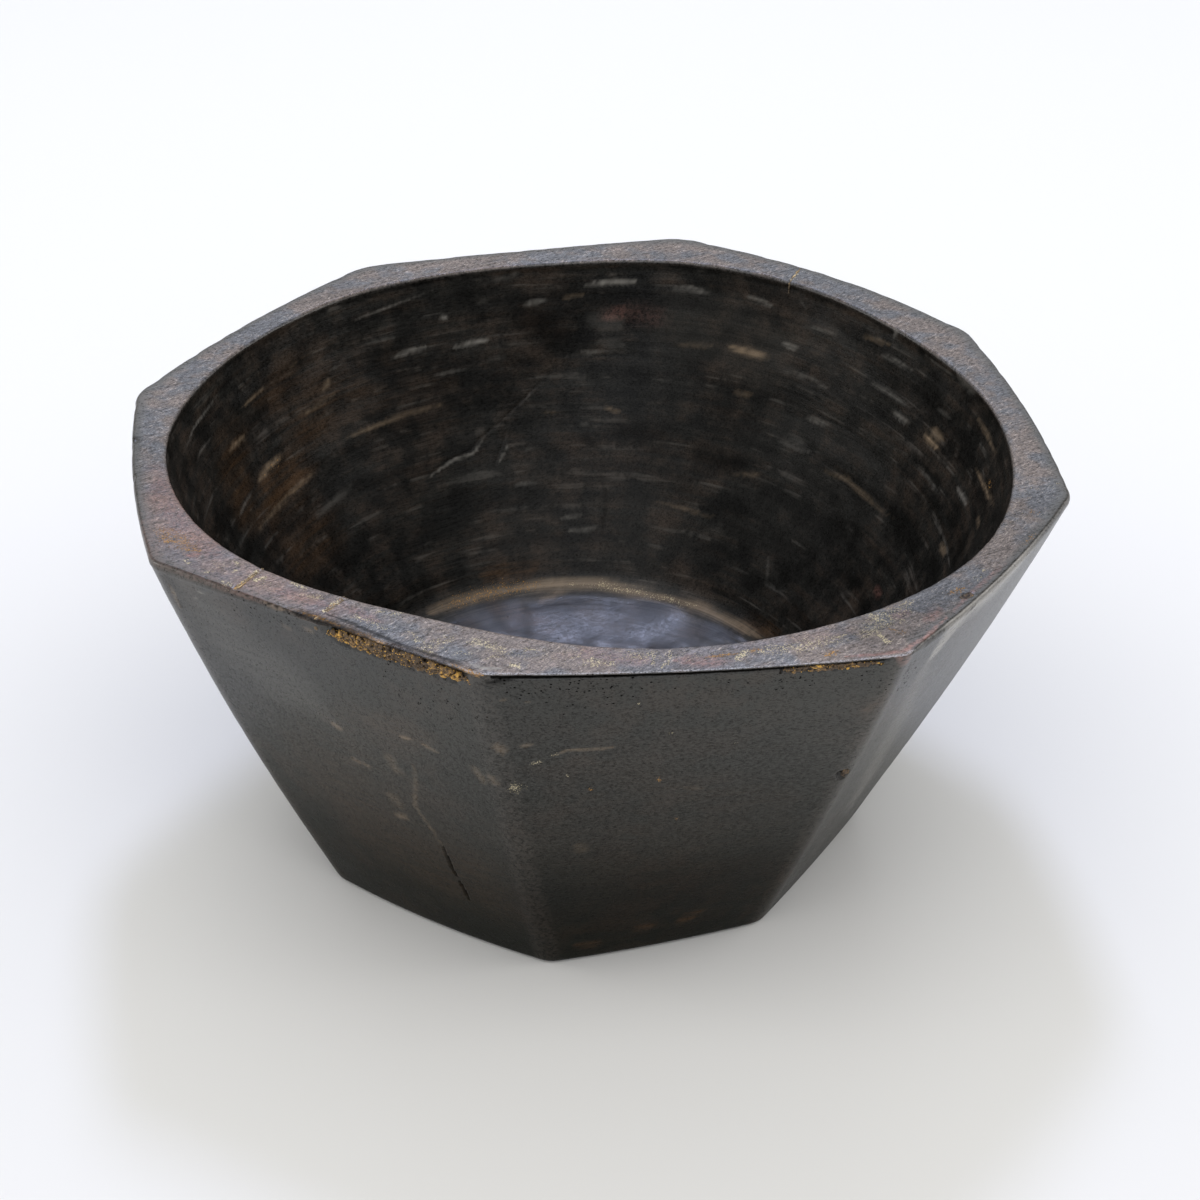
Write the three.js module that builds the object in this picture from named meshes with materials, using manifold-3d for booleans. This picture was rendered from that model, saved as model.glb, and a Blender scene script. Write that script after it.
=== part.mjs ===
// Wooden curry bowl: one block of dark hardwood, cut to eight facets outside and hollowed
// round inside, with ochre fill set in its checks and chips. Millimetres, +Z up.
import * as THREE from 'three';
import { mergeVertices } from 'three/addons/utils/BufferGeometryUtils.js';
import Module from 'manifold-3d';

const wasm = await Module();
wasm.setup();

// The block. Corner 0 is the front one, and the rest follow anticlockwise seen from above.
// A reach is the distance from the carving axis, and a turn the angle from +X in degrees.
const BOWL_HEIGHT = 109;
const RIM_CORNERS = [
  { reach: 119.6, turn: -102.4 },
  { reach: 128.3, turn: -56.4 },
  { reach: 122, turn: -14.5 },
  { reach: 120.5, turn: 32.2 },
  { reach: 128.3, turn: 78.4 },
  { reach: 123.2, turn: 123.7 },
  { reach: 122.6, turn: 170.4 },
  { reach: 125, turn: 212.6 },
];
const FOOT_CORNERS = [
  { reach: 79.1, turn: -97.6 },
  { reach: 74.3, turn: -54.9 },
  { reach: 72.1, turn: -7.8 },
  { reach: 75, turn: 36.5 },
  { reach: 77, turn: 82 },
  { reach: 75.5, turn: 127 },
  { reach: 77.4, turn: 172 },
  { reach: 78.5, turn: 213.5 },
];
// How far each hand-cut side stands proud of a straight line between its two corners
const RIM_BOWS = [2.1, 2.6, 2.2, 4.8, 0.7, 2.4, 2.1, 0.4];
const FOOT_BOWS = [0.8, 0.4, 1.6, 1.6, 1.6, 1.6, 1.6, 1.9];
// How far each ridge swells half-way up
const RIDGE_BELLIES = [3.8, 1.3, 1.7, 2, 2, 2, 2.1, 2.2];
// How far from each corner its rounding starts: the back corners are the most worn
const CORNER_ROUNDS = [3.2, 3.2, 3.6, 7, 8, 8, 6, 3.6];
// Points along each side, round each corner, and the heights of the facets' rings
const SIDE_STEPS = 6;
const CORNER_STEPS = 2;
const FACET_LEVELS = [10, 24, 40, 57, 74, 91];

// The rolled arris under the rim and the worn edge of the foot
const RIM_ROLL = { drop: 2.8, inset: 1.6 };
// The share of the full roll along the outline, by side and share of it: the front is still crisp
const RIM_ROLL_SHARES = [[0, 0.2], [0.9, 0.2], [1.04, 1], [7.15, 1], [7.38, 0.5], [7.85, 0.25], [8, 0.2]];
const FOOT_ROLL = { rise: 2, inset: 1.8 };
const ROLL_STEPS = 3;

// The hollow, turned about an axis of its own near the carving axis
const HOLLOW = {
  mouthReach: 105,
  lipRound: 1.6,
  wallBelly: 4.5,
  floorReach: 61,
  floorEdgeHeight: 25,
  floorCentreHeight: 17,
  floorRound: 9,
  floorEdgeDip: 1.2,
  mouthCentre: new THREE.Vector2(-0.2, 1.1),
  floorCentre: new THREE.Vector2(-4, 6),
};
// Steps round the hollow, and up its section: floor, floor edge, wall and lip
const HOLLOW_STEPS = 72;
const SECTION_STEPS = { floor: 4, edge: 3, wall: 8, lip: 2 };
// The cutting solids reach this far above the rim
const MOUTH_ABOVE_RIM = 3;
// The mouth isn't quite round: each wave gives its lobes, swell and the turn of a crest.
// At the floor this share of each swell is left.
const MOUTH_WAVES = [
  { lobes: 2, swell: 1.6, crest: -29 },
  { lobes: 3, swell: 2.8, crest: -49 },
  { lobes: 5, swell: 0.8, crest: -7 },
  { lobes: 7, swell: 0.5, crest: 16 },
];
const FLOOR_WAVE_SHARE = 0.35;
// Where the blade cut the mouth wider or left it narrower, as a push over a width of turn
const MOUTH_CUTS = [
  { turn: 79, push: 0.8, width: 9 },
  { turn: 129, push: 1.2, width: 13 },
  { turn: 167, push: -1.4, width: 15 },
];

// Ochre fill keeps this gap to the wood around it, and lies this far below the skin
const SEAT_GAP = 0.3;
const FILL_SINK = { check: 0.35, leftArris: 0.7, frontArris: 0.5, ridge: 0.5 };

// Checks across the rim, as wedges from the hollow to the outside
const CHECKS = {
  left_1: { from: [-73, -61.5], to: [-85, -84.5], width: 1.8, depth: 6 },
  left_2: { from: [-52.5, -76.5], to: [-65, -95.5], width: 2.6, depth: 5 },
  back: { from: [50.5, 84.5], to: [63, 119], width: 1.5, depth: 4 },
};
const CHECK_FILL_SLIM = 0.3;
// Width of a check's foot as a share of its top
const CHECK_FOOT_SHARE = 0.35;

// Chips along the rim's arris: a side, the stretch of it, and the size of the scoop
const LEFT_CHIP = { side: 7, start: 0.4, end: 1, height: -2.8, across: 3.4, down: 2.3, steps: 10 };
const FRONT_CHIP = { side: 0, start: 0.7, end: 0.985, height: -2, across: 3, down: 1.3, steps: 7 };
const CHIP_TAPER = 0.3;
const CHIP_FULLNESS_POWER = 0.6;
const CHIP_CORNERS = 6;
// The scoops of the blade along a chip: how much they widen it, and the turn from one to the next
const CHIP_RIPPLE = { swell: 0.12, turn: 2.1 };
// The crust in the left chip starts past the second check
const LEFT_CRUST_START = 0.56;

// The oblong plug in the right rim and the nick on the front right ridge
const PLUG = { centre: [86.2, -79.5], turn: 40, length: 5, width: 2.8, depth: 3.5, below: 0.25, steps: 6 };
const NICK = {
  corner: 1,
  height: 64.5,
  radius: 2.4,
  fillRadius: 1.9,
  stretch: 1.5,
  around: 10,
  upwards: 7,
};

// Open splits in the wood, as kerfs cut along a short line of points on the surface. A kerf
// stands out of the skin by a share of its depth, and narrows to a share of its size at its ends.
const KERF = { proudShare: 0.5, endShare: 0.35 };
const FACET_SPLITS = [
  { side: 7, width: 1.1, depth: 3, line: [[0.72, 40], [0.725, 31.5], [0.745, 26], [0.75, 19.5]] },
  { side: 7, width: 0.9, depth: 2, line: [[0.45, 105], [0.455, 102.5], [0.465, 99.5]] },
];
const HOLLOW_SPLITS = [
  {
    width: 1.5,
    depth: 1.1,
    line: [[125, 56], [118, 59.5], [113, 61], [111, 63.5], [107, 66.6], [104, 70], [100.5, 74.4],
      [96.5, 79]],
  },
  { width: 1.2, depth: 0.8, line: [[105.6, 64.5], [107.2, 60], [108.7, 56.4]] },
];

const { degToRad, radToDeg, lerp } = THREE.MathUtils;
const OCTAGON = RIM_CORNERS.length;

// Corner points of the eight-sided block at a height, drawn in by an inset
function blockCorners(height, inset) {
  const rise = height / BOWL_HEIGHT;
  return RIM_CORNERS.map((rim, i) => {
    const foot = FOOT_CORNERS[i];
    const turn = degToRad(lerp(foot.turn, rim.turn, rise));
    const belly = RIDGE_BELLIES[i] * 4 * rise * (1 - rise);
    const reach = lerp(foot.reach, rim.reach, rise) + belly - inset / Math.cos(Math.PI / OCTAGON);
    return new THREE.Vector2(reach * Math.cos(turn), reach * Math.sin(turn));
  });
}

// One bowed side at a height, from just past its first corner to just short of its second
function blockSide(side, height, inset) {
  const corners = blockCorners(height, inset);
  const first = corners[side % OCTAGON];
  const second = corners[(side + 1) % OCTAGON];
  const along = second.clone().sub(first);
  const start = first.clone().lerp(second, CORNER_ROUNDS[side % OCTAGON] / along.length());
  const end = second.clone().lerp(first, CORNER_ROUNDS[(side + 1) % OCTAGON] / along.length());
  const bow = lerp(FOOT_BOWS[side % OCTAGON], RIM_BOWS[side % OCTAGON], height / BOWL_HEIGHT);
  const outward = new THREE.Vector2(along.y, -along.x).normalize();
  const crown = start.clone().add(end).multiplyScalar(0.5).addScaledVector(outward, 2 * bow);
  return new THREE.QuadraticBezierCurve(start, crown, end);
}

// One point of the outline: so many steps along a side, or past it round the next corner
function outlinePoint(side, step, height, inset) {
  const edge = blockSide(side, height, inset);
  if (step <= SIDE_STEPS) {
    return edge.getPoint(step / SIDE_STEPS);
  }
  const next = blockSide(side + 1, height, inset);
  const corner = blockCorners(height, inset)[(side + 1) % OCTAGON];
  const bend = new THREE.QuadraticBezierCurve(edge.v2, corner, next.v0);
  return bend.getPoint((step - SIDE_STEPS) / CORNER_STEPS);
}

// How much of the rim's full roll there is at a place along the outline
function rollShare(place) {
  const next = RIM_ROLL_SHARES.findIndex(([at]) => at > place);
  const [[low, from], [high, to]] = [RIM_ROLL_SHARES[next - 1], RIM_ROLL_SHARES[next]];
  return lerp(from, to, (place - low) / (high - low));
}

// The whole outline at a height: bowed sides joined by rounded corners. A roll of the rim's
// arris lowers each point, and draws it in, by that point's share of the full roll.
function blockOutline(height, inset, roll = { drop: 0, inset: 0 }) {
  const points = [];
  for (let side = 0; side < OCTAGON; side += 1) {
    for (let step = 0; step < SIDE_STEPS + CORNER_STEPS; step += 1) {
      const share = rollShare(side + step / (SIDE_STEPS + CORNER_STEPS));
      const level = height - roll.drop * share;
      const point = outlinePoint(side, step, level, inset + roll.inset * share);
      points.push(new THREE.Vector3(point.x, point.y, level));
    }
  }
  return points;
}

// A closed loft through rings of as many points each, with a fan over each end
function loftGeometry(rings) {
  const count = rings[0].length;
  const points = rings.flat();
  const indices = [];
  for (let ring = 0; ring < rings.length - 1; ring += 1) {
    for (let i = 0; i < count; i += 1) {
      const a = ring * count + i;
      const b = ring * count + ((i + 1) % count);
      indices.push(a, b, b + count, a, b + count, a + count);
    }
  }
  const addFan = (ring, first, flip) => {
    const centre = new THREE.Vector3();
    ring.forEach((point) => centre.add(point));
    points.push(centre.divideScalar(count));
    for (let i = 0; i < count; i += 1) {
      const a = first + i;
      const b = first + ((i + 1) % count);
      indices.push(points.length - 1, flip ? b : a, flip ? a : b);
    }
  };
  addFan(rings[0], 0, true);
  addFan(rings.at(-1), (rings.length - 1) * count, false);
  const geometry = new THREE.BufferGeometry();
  const positions = points.flatMap((point) => point.toArray());
  geometry.setAttribute('position', new THREE.Float32BufferAttribute(positions, 3));
  geometry.setIndex(indices);
  return geometry;
}

// A solid of the boolean library from a closed geometry
function solidOf(geometry) {
  const bare = geometry.clone();
  bare.deleteAttribute('normal');
  bare.deleteAttribute('uv');
  const merged = mergeVertices(bare);
  return new wasm.Manifold(new wasm.Mesh({
    numProp: 3,
    vertProperties: new Float32Array(merged.attributes.position.array),
    triVerts: new Uint32Array(merged.index.array),
  }));
}

// The eight-sided block with its rolled arrises, all round drawn in by an inset
function blockSolid(inset = 0) {
  const rings = [];
  for (let step = 0; step <= ROLL_STEPS; step += 1) {
    const sweep = (Math.PI / 2) * (step / ROLL_STEPS);
    const height = inset + FOOT_ROLL.rise * (1 - Math.cos(sweep));
    rings.push(blockOutline(height, inset + FOOT_ROLL.inset * (1 - Math.sin(sweep))));
  }
  FACET_LEVELS.forEach((height) => rings.push(blockOutline(height, inset)));
  for (let step = ROLL_STEPS; step >= 0; step -= 1) {
    const sweep = (Math.PI / 2) * (step / ROLL_STEPS);
    rings.push(blockOutline(BOWL_HEIGHT - inset, inset, {
      drop: RIM_ROLL.drop * (1 - Math.cos(sweep)),
      inset: RIM_ROLL.inset * (1 - Math.sin(sweep)),
    }));
  }
  return solidOf(loftGeometry(rings));
}

// The hollow's half section: dished floor, rounded floor edge, swelling wall and eased lip
function hollowProfile() {
  const { mouthReach, lipRound, floorReach, floorEdgeHeight, floorCentreHeight, floorRound } = HOLLOW;
  const floorEdge = new THREE.Vector2(floorReach, floorEdgeHeight);
  const floorEnd = new THREE.Vector2(floorReach - floorRound, floorEdgeHeight - HOLLOW.floorEdgeDip);
  const lipStart = new THREE.Vector2(mouthReach, BOWL_HEIGHT - lipRound);
  const wallRun = lipStart.clone().sub(floorEdge);
  const wallStart = floorEdge.clone().addScaledVector(wallRun.clone().normalize(), floorRound);
  const wallOut = new THREE.Vector2(wallRun.y, -wallRun.x).normalize();
  const wallCrown = wallStart.clone().add(lipStart).multiplyScalar(0.5);
  wallCrown.addScaledVector(wallOut, 2 * HOLLOW.wallBelly);
  const axisFoot = new THREE.Vector2(0, floorCentreHeight);
  const dish = new THREE.Vector2(floorEnd.x / 2, floorCentreHeight);
  const lipCorner = new THREE.Vector2(mouthReach + lipRound / 4, BOWL_HEIGHT);
  const lipEnd = new THREE.Vector2(mouthReach + lipRound, BOWL_HEIGHT);
  const floor = new THREE.QuadraticBezierCurve(axisFoot, dish, floorEnd);
  const edge = new THREE.QuadraticBezierCurve(floorEnd, floorEdge, wallStart);
  const wall = new THREE.QuadraticBezierCurve(wallStart, wallCrown, lipStart);
  const lip = new THREE.QuadraticBezierCurve(lipStart, lipCorner, lipEnd);
  return [
    ...floor.getPoints(SECTION_STEPS.floor).slice(0, -1),
    ...edge.getPoints(SECTION_STEPS.edge).slice(0, -1),
    ...wall.getPoints(SECTION_STEPS.wall).slice(0, -1),
    ...lip.getPoints(SECTION_STEPS.lip),
    new THREE.Vector2(lipEnd.x, BOWL_HEIGHT + MOUTH_ABOVE_RIM),
    new THREE.Vector2(0, BOWL_HEIGHT + MOUTH_ABOVE_RIM),
  ];
}

// Where a point of the true round hollow goes: pushed by the mouth's waves and cuts, and off its axis
function hollowPoint(reach, turn, height) {
  const rise = THREE.MathUtils.clamp(
    (height - HOLLOW.floorEdgeHeight) / (BOWL_HEIGHT - HOLLOW.floorEdgeHeight), 0, 1,
  );
  const wave = MOUTH_WAVES.reduce(
    (sum, { lobes, swell, crest }) => sum + swell * Math.cos(lobes * (turn - degToRad(crest))), 0,
  );
  const cut = MOUTH_CUTS.reduce((sum, { turn: middle, push, width }) => {
    const away = THREE.MathUtils.euclideanModulo(radToDeg(turn) - middle + 180, 360) - 180;
    return sum + push * Math.exp(-((away / width) ** 2));
  }, 0);
  const swollen = wave * lerp(FLOOR_WAVE_SHARE, 1, rise) + cut * rise;
  const pushed = reach * (1 + swollen / HOLLOW.mouthReach);
  const centre = HOLLOW.floorCentre.clone().lerp(HOLLOW.mouthCentre, rise);
  return new THREE.Vector3(
    centre.x + pushed * Math.cos(turn),
    centre.y + pushed * Math.sin(turn),
    height,
  );
}

function hollowSolid() {
  const geometry = new THREE.LatheGeometry(hollowProfile(), HOLLOW_STEPS);
  geometry.rotateX(Math.PI / 2);
  const bare = geometry.clone();
  bare.deleteAttribute('normal');
  bare.deleteAttribute('uv');
  const merged = mergeVertices(bare);
  const positions = merged.attributes.position;
  for (let i = 0; i < positions.count; i += 1) {
    const [x, y, z] = [positions.getX(i), positions.getY(i), positions.getZ(i)];
    const moved = hollowPoint(Math.hypot(x, y), Math.atan2(y, x), z);
    positions.setXYZ(i, moved.x, moved.y, moved.z);
  }
  return solidOf(merged);
}

// A check across the rim: a wedge that narrows downwards, slimmer for the fill inside it
function checkSolid({ from, to, width, depth }, slim) {
  const start = new THREE.Vector2(...from);
  const end = new THREE.Vector2(...to);
  const half = width / 2 - slim;
  const wedge = new THREE.Shape([
    new THREE.Vector2(-half, MOUTH_ABOVE_RIM),
    new THREE.Vector2(-half * CHECK_FOOT_SHARE, -depth + slim),
    new THREE.Vector2(half * CHECK_FOOT_SHARE, -depth + slim),
    new THREE.Vector2(half, MOUTH_ABOVE_RIM),
  ]);
  const geometry = new THREE.ExtrudeGeometry(wedge, { depth: start.distanceTo(end), bevelEnabled: false });
  const along = new THREE.Vector3(end.x - start.x, end.y - start.y, 0).normalize();
  const up = new THREE.Vector3(0, 0, 1);
  const basis = new THREE.Matrix4().makeBasis(up.clone().cross(along), up, along);
  basis.setPosition(start.x, start.y, BOWL_HEIGHT);
  return solidOf(geometry.applyMatrix4(basis));
}

// A scoop along a stretch of the rim's arris, fuller in the middle and slimmer for its fill
function chipSolid({ side, start, end, height, across, down, steps }, slim) {
  const level = BOWL_HEIGHT + height;
  const edge = blockSide(side, level, 0);
  const rings = [];
  for (let step = 0; step <= steps; step += 1) {
    const share = step / steps;
    const at = lerp(start, end, share);
    const middle = edge.getPoint(at);
    const run = edge.getTangent(at);
    const outward = new THREE.Vector2(run.y, -run.x);
    const fullness = lerp(CHIP_TAPER, 1, Math.sin(Math.PI * share) ** CHIP_FULLNESS_POWER);
    const ripple = 1 + CHIP_RIPPLE.swell * Math.sin(step * CHIP_RIPPLE.turn);
    const wide = across * fullness * ripple - slim;
    const tall = down * fullness - slim;
    rings.push(Array.from({ length: CHIP_CORNERS }, (_, corner) => {
      const sweep = (corner / CHIP_CORNERS) * 2 * Math.PI;
      const out = wide * Math.cos(sweep);
      return new THREE.Vector3(
        middle.x + out * outward.x,
        middle.y + out * outward.y,
        level - tall * Math.sin(sweep),
      );
    }));
  }
  return solidOf(loftGeometry(rings));
}

// The oblong pocket in the right rim, and the slimmer plug that fills it
function plugSolid({ centre, turn, length, width, depth, steps }, slim, top) {
  const radius = width / 2 - slim;
  const reach = (length - width) / 2;
  const stadium = new THREE.Shape();
  stadium.absarc(reach, 0, radius, -Math.PI / 2, Math.PI / 2);
  stadium.absarc(-reach, 0, radius, Math.PI / 2, (3 * Math.PI) / 2);
  const geometry = new THREE.ExtrudeGeometry(stadium, {
    depth: top + depth - slim,
    bevelEnabled: false,
    curveSegments: steps,
  });
  geometry.rotateZ(degToRad(turn));
  geometry.translate(centre[0], centre[1], BOWL_HEIGHT - depth + slim);
  return solidOf(geometry);
}

// A worn nick on a ridge, and the rounder bit of fill that sits in it
function nickSolid({ corner, height, stretch, around, upwards }, radius) {
  const point = blockCorners(height, 0)[corner];
  const geometry = new THREE.SphereGeometry(radius, around, upwards);
  geometry.scale(1, 1, stretch);
  geometry.translate(point.x, point.y, height);
  return solidOf(geometry);
}

// A kerf along surface points: a lozenge section that thins out towards both ends
function kerfSolid(points, outwards, width, depth) {
  const rings = points.map((point, i) => {
    const before = points[Math.max(i - 1, 0)];
    const after = points[Math.min(i + 1, points.length - 1)];
    const run = after.clone().sub(before).normalize();
    const out = outwards[i];
    const across = out.clone().cross(run).normalize();
    const ends = i === 0 || i === points.length - 1;
    const full = ends ? KERF.endShare : 1;
    return [
      point.clone().addScaledVector(across, (width / 2) * full),
      point.clone().addScaledVector(out, depth * KERF.proudShare * full),
      point.clone().addScaledVector(across, -(width / 2) * full),
      point.clone().addScaledVector(out, -depth * full),
    ];
  });
  return solidOf(loftGeometry(rings));
}

// A split in a facet, its line given as shares along the side and heights
function facetSplitSolid({ side, width, depth, line }) {
  const points = [];
  const outwards = [];
  line.forEach(([share, height]) => {
    const edge = blockSide(side, height, 0);
    const spot = edge.getPoint(share);
    const run = edge.getTangent(share);
    points.push(new THREE.Vector3(spot.x, spot.y, height));
    outwards.push(new THREE.Vector3(run.y, -run.x, 0));
  });
  return kerfSolid(points, outwards, width, depth);
}

// The wavy split up the inside of the back wall, its line given as turns and heights
function hollowSplitSolid({ width, depth, line }) {
  const profile = hollowProfile();
  const reachAt = (height) => {
    const above = profile.findIndex((point) => point.y > height);
    const [low, high] = [profile[above - 1], profile[above]];
    return lerp(low.x, high.x, (height - low.y) / (high.y - low.y));
  };
  const points = line.map(([turn, height]) => hollowPoint(reachAt(height), degToRad(turn), height));
  const outwards = line.map(([turn]) => {
    const sweep = degToRad(turn);
    return new THREE.Vector3(-Math.cos(sweep), -Math.sin(sweep), 0);
  });
  return kerfSolid(points, outwards, width, depth);
}

// A named mesh from a solid, with flat faces and its own material
function pieceMesh(name, solid, finish) {
  const { vertProperties, triVerts } = solid.getMesh();
  const geometry = new THREE.BufferGeometry();
  geometry.setAttribute('position', new THREE.Float32BufferAttribute(vertProperties, 3));
  geometry.setIndex(Array.from(triVerts));
  geometry.computeVertexNormals();
  const piece = new THREE.Mesh(geometry, new THREE.MeshStandardMaterial({ ...finish, flatShading: true }));
  piece.name = name;
  return piece;
}

const HARDWOOD = { color: 0x2e2622, roughness: 0.5, metalness: 0 };
const OCHRE_FILL = { color: 0xa9762f, roughness: 0.9, metalness: 0 };

// The block, its hollow, and every cut that opens the skin
const block = blockSolid();
const hollow = hollowSolid();
const cuts = [
  hollow,
  ...Object.values(CHECKS).map((check) => checkSolid(check, 0)),
  chipSolid(LEFT_CHIP, 0),
  chipSolid(FRONT_CHIP, 0),
  plugSolid(PLUG, 0, MOUTH_ABOVE_RIM),
  nickSolid(NICK, NICK.radius),
  ...FACET_SPLITS.map(facetSplitSolid),
  ...HOLLOW_SPLITS.map(hollowSplitSolid),
];
const bowlBody = cuts.reduce((body, cut) => body.subtract(cut), block);

// Fill is trimmed to a block drawn in below the skin, so that none of it stands proud
const sunkBlock = (sink) => blockSolid(sink).subtract(hollow);
const checkFill = (check) => checkSolid(check, CHECK_FILL_SLIM).intersect(sunkBlock(FILL_SINK.check));
const leftCrust = chipSolid(LEFT_CHIP, SEAT_GAP)
  .intersect(chipSolid({ ...LEFT_CHIP, start: LEFT_CRUST_START }, SEAT_GAP))
  .intersect(sunkBlock(FILL_SINK.leftArris));
const frontCrust = chipSolid(FRONT_CHIP, SEAT_GAP).intersect(sunkBlock(FILL_SINK.frontArris));
const rightPlug = plugSolid(PLUG, SEAT_GAP, -PLUG.below);
const nickFill = nickSolid(NICK, NICK.fillRadius).intersect(sunkBlock(FILL_SINK.ridge));

const pieces = new THREE.Group();
pieces.add(
  pieceMesh('bowl_body', bowlBody, HARDWOOD),
  pieceMesh('check_fill_left_1', checkFill(CHECKS.left_1), OCHRE_FILL),
  pieceMesh('check_fill_left_2', checkFill(CHECKS.left_2), OCHRE_FILL),
  pieceMesh('check_fill_back', checkFill(CHECKS.back), OCHRE_FILL),
  pieceMesh('arris_fill_left', leftCrust, OCHRE_FILL),
  pieceMesh('arris_fill_front', frontCrust, OCHRE_FILL),
  pieceMesh('plug_right', rightPlug, OCHRE_FILL),
  pieceMesh('ridge_fill', nickFill, OCHRE_FILL),
);

// The origin is under the middle of the bowl's outer box
const box = new THREE.Box3().setFromObject(pieces);
const middle = box.getCenter(new THREE.Vector3());
pieces.position.set(-middle.x, -middle.y, -box.min.z);

export default pieces;
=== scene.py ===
"""The wooden curry bowl, dressed: one block of dark hardwood with ochre fill in its checks and chips.

The sizes of the carving are in millimetres about the carving axis, and the meshes in metres in the
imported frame.
"""
import logging
import math
from collections.abc import Sequence
from dataclasses import dataclass, field
from enum import Enum

import bmesh
import bpy
import numpy as np
from mathutils import Matrix, Vector, noise
from mathutils.bvhtree import BVHTree


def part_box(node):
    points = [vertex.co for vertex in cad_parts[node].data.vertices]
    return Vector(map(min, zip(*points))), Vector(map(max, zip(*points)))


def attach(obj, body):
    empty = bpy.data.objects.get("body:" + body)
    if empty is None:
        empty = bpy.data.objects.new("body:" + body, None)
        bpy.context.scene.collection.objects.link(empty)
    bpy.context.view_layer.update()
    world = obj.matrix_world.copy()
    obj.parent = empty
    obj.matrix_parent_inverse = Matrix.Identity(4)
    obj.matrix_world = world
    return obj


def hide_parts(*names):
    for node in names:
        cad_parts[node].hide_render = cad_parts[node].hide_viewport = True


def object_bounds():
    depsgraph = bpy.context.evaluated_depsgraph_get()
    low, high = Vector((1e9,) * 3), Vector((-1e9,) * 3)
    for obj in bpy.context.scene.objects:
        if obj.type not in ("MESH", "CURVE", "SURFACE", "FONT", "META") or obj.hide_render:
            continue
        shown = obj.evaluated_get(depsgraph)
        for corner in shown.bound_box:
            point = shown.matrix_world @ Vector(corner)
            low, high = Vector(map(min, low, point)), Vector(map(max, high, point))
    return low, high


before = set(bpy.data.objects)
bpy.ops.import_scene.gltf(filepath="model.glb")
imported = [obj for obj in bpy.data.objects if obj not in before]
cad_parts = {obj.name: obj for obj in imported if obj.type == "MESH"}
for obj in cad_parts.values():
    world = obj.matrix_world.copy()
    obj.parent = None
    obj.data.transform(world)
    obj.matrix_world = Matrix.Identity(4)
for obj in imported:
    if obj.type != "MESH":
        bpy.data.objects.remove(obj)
cad_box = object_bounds()

MM = 0.001
SIDES = 8
# Share of each turn from corner to corner that is the bowed side. The rest is the rounded corner.
SIDE_SPAN = 0.94
log = logging.getLogger("curry_bowl")

Colour = tuple[float, float, float]
Pixel = tuple[float, float]
Span = tuple[float, float, float, float]


class Stretch(Enum):
    """The stretches of the bowl's section, in order from under the foot to the floor's middle."""

    UNDERSIDE = 0
    FOOT_ROLL = 1
    FACET = 2
    RIM_ROLL = 3
    RIM = 4
    LIP = 5
    WALL = 6
    FLOOR_EDGE = 7
    FLOOR = 8


class Tone(Enum):
    """What a mark on the wood is coloured by. The value names its vertex attribute.

    PALE and TAN are scrapes, OCHRE and CREAM are flecks, ROSE and BROWN are stains, DARK darkens towards
    black, and PORES are open pores. Where a mark paints light, shade or shadow instead, in whole or in part,
    that is noted where it stands.
    """

    PALE = "pale"
    TAN = "tan"
    OCHRE = "ochre"
    CREAM = "cream"
    ROSE = "rose"
    BROWN = "brown"
    DARK = "dark"
    PORES = "pores"


def quadratic(start: np.ndarray, crown: np.ndarray, end: np.ndarray, share: np.ndarray) -> np.ndarray:
    """Point of a quadratic curve.

    Args:
        start: First control points, one row each.
        crown: Middle control points.
        end: Last control points.
        share: How far along each curve, from 0 to 1.

    Returns:
        One point per row.
    """
    t = share[:, None]
    return (1 - t) ** 2 * start + 2 * t * (1 - t) * crown + t ** 2 * end


def smooth(low: float, high: float, value: np.ndarray) -> np.ndarray:
    """Smooth step from 0 at low to 1 at high."""
    t = np.clip((value - low) / (high - low), 0, 1)
    return t * t * (3 - 2 * t)


def between(span: Span, value: np.ndarray) -> np.ndarray:
    """1 between the two inner numbers of a span, and smoothly down to 0 at its outer numbers."""
    return smooth(span[0], span[1], value) * (1 - smooth(span[2], span[3], value))


def noise_at(points: np.ndarray, size: float | Sequence[float], seed: float = 0.0) -> np.ndarray:
    """Gradient noise at points.

    Args:
        points: Places in millimetres, one row each.
        size: Width of one swell, for all axes or for each.
        seed: Shifts the pattern.

    Returns:
        Values from about -1 to 1.
    """
    scaled = points / np.asarray(size) + seed
    return np.array([noise.noise(p) for p in scaled.tolist()])


def distance_to_line(points: np.ndarray, line: np.ndarray) -> tuple[np.ndarray, np.ndarray]:
    """Distance of points to a broken line.

    Args:
        points: Places, one row each.
        line: The line's points, two or more, in order.

    Returns:
        The distance of each point, and how far along the line its nearest place is, from 0 to 1.
    """
    nearest = np.full(len(points), np.inf)
    along = np.zeros(len(points))
    lengths = np.linalg.norm(np.diff(line, axis=0), axis=1)
    run = np.concatenate([[0], np.cumsum(lengths)])
    for i, length in enumerate(lengths):
        step = line[i + 1] - line[i]
        share = np.clip((points - line[i]) @ step / max(length ** 2, 1e-12), 0, 1)
        away = np.linalg.norm(points - line[i] - share[:, None] * step, axis=1)
        closer = away < nearest
        nearest = np.where(closer, away, nearest)
        along = np.where(closer, (run[i] + share * length) / run[-1], along)
    return nearest, along


def linked_object(name: str, data: bpy.types.ID) -> bpy.types.Object:
    """An object at the origin.

    Args:
        name: Its name.
        data: Its mesh, camera or lamp.

    Returns:
        The object, linked to the scene.
    """
    made = bpy.data.objects.new(name, data)
    bpy.context.scene.collection.objects.link(made)
    return made


def worked_in(piece: bpy.types.Object, layer: bpy.types.Modifier) -> bpy.types.Mesh:
    """The mesh that a modifier makes of a piece.

    Args:
        piece: The piece.
        layer: Its modifier, which is removed.

    Returns:
        The new mesh.
    """
    depsgraph = bpy.context.evaluated_depsgraph_get()
    made = bpy.data.meshes.new_from_object(piece.evaluated_get(depsgraph))
    piece.modifiers.remove(layer)
    return made


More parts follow.
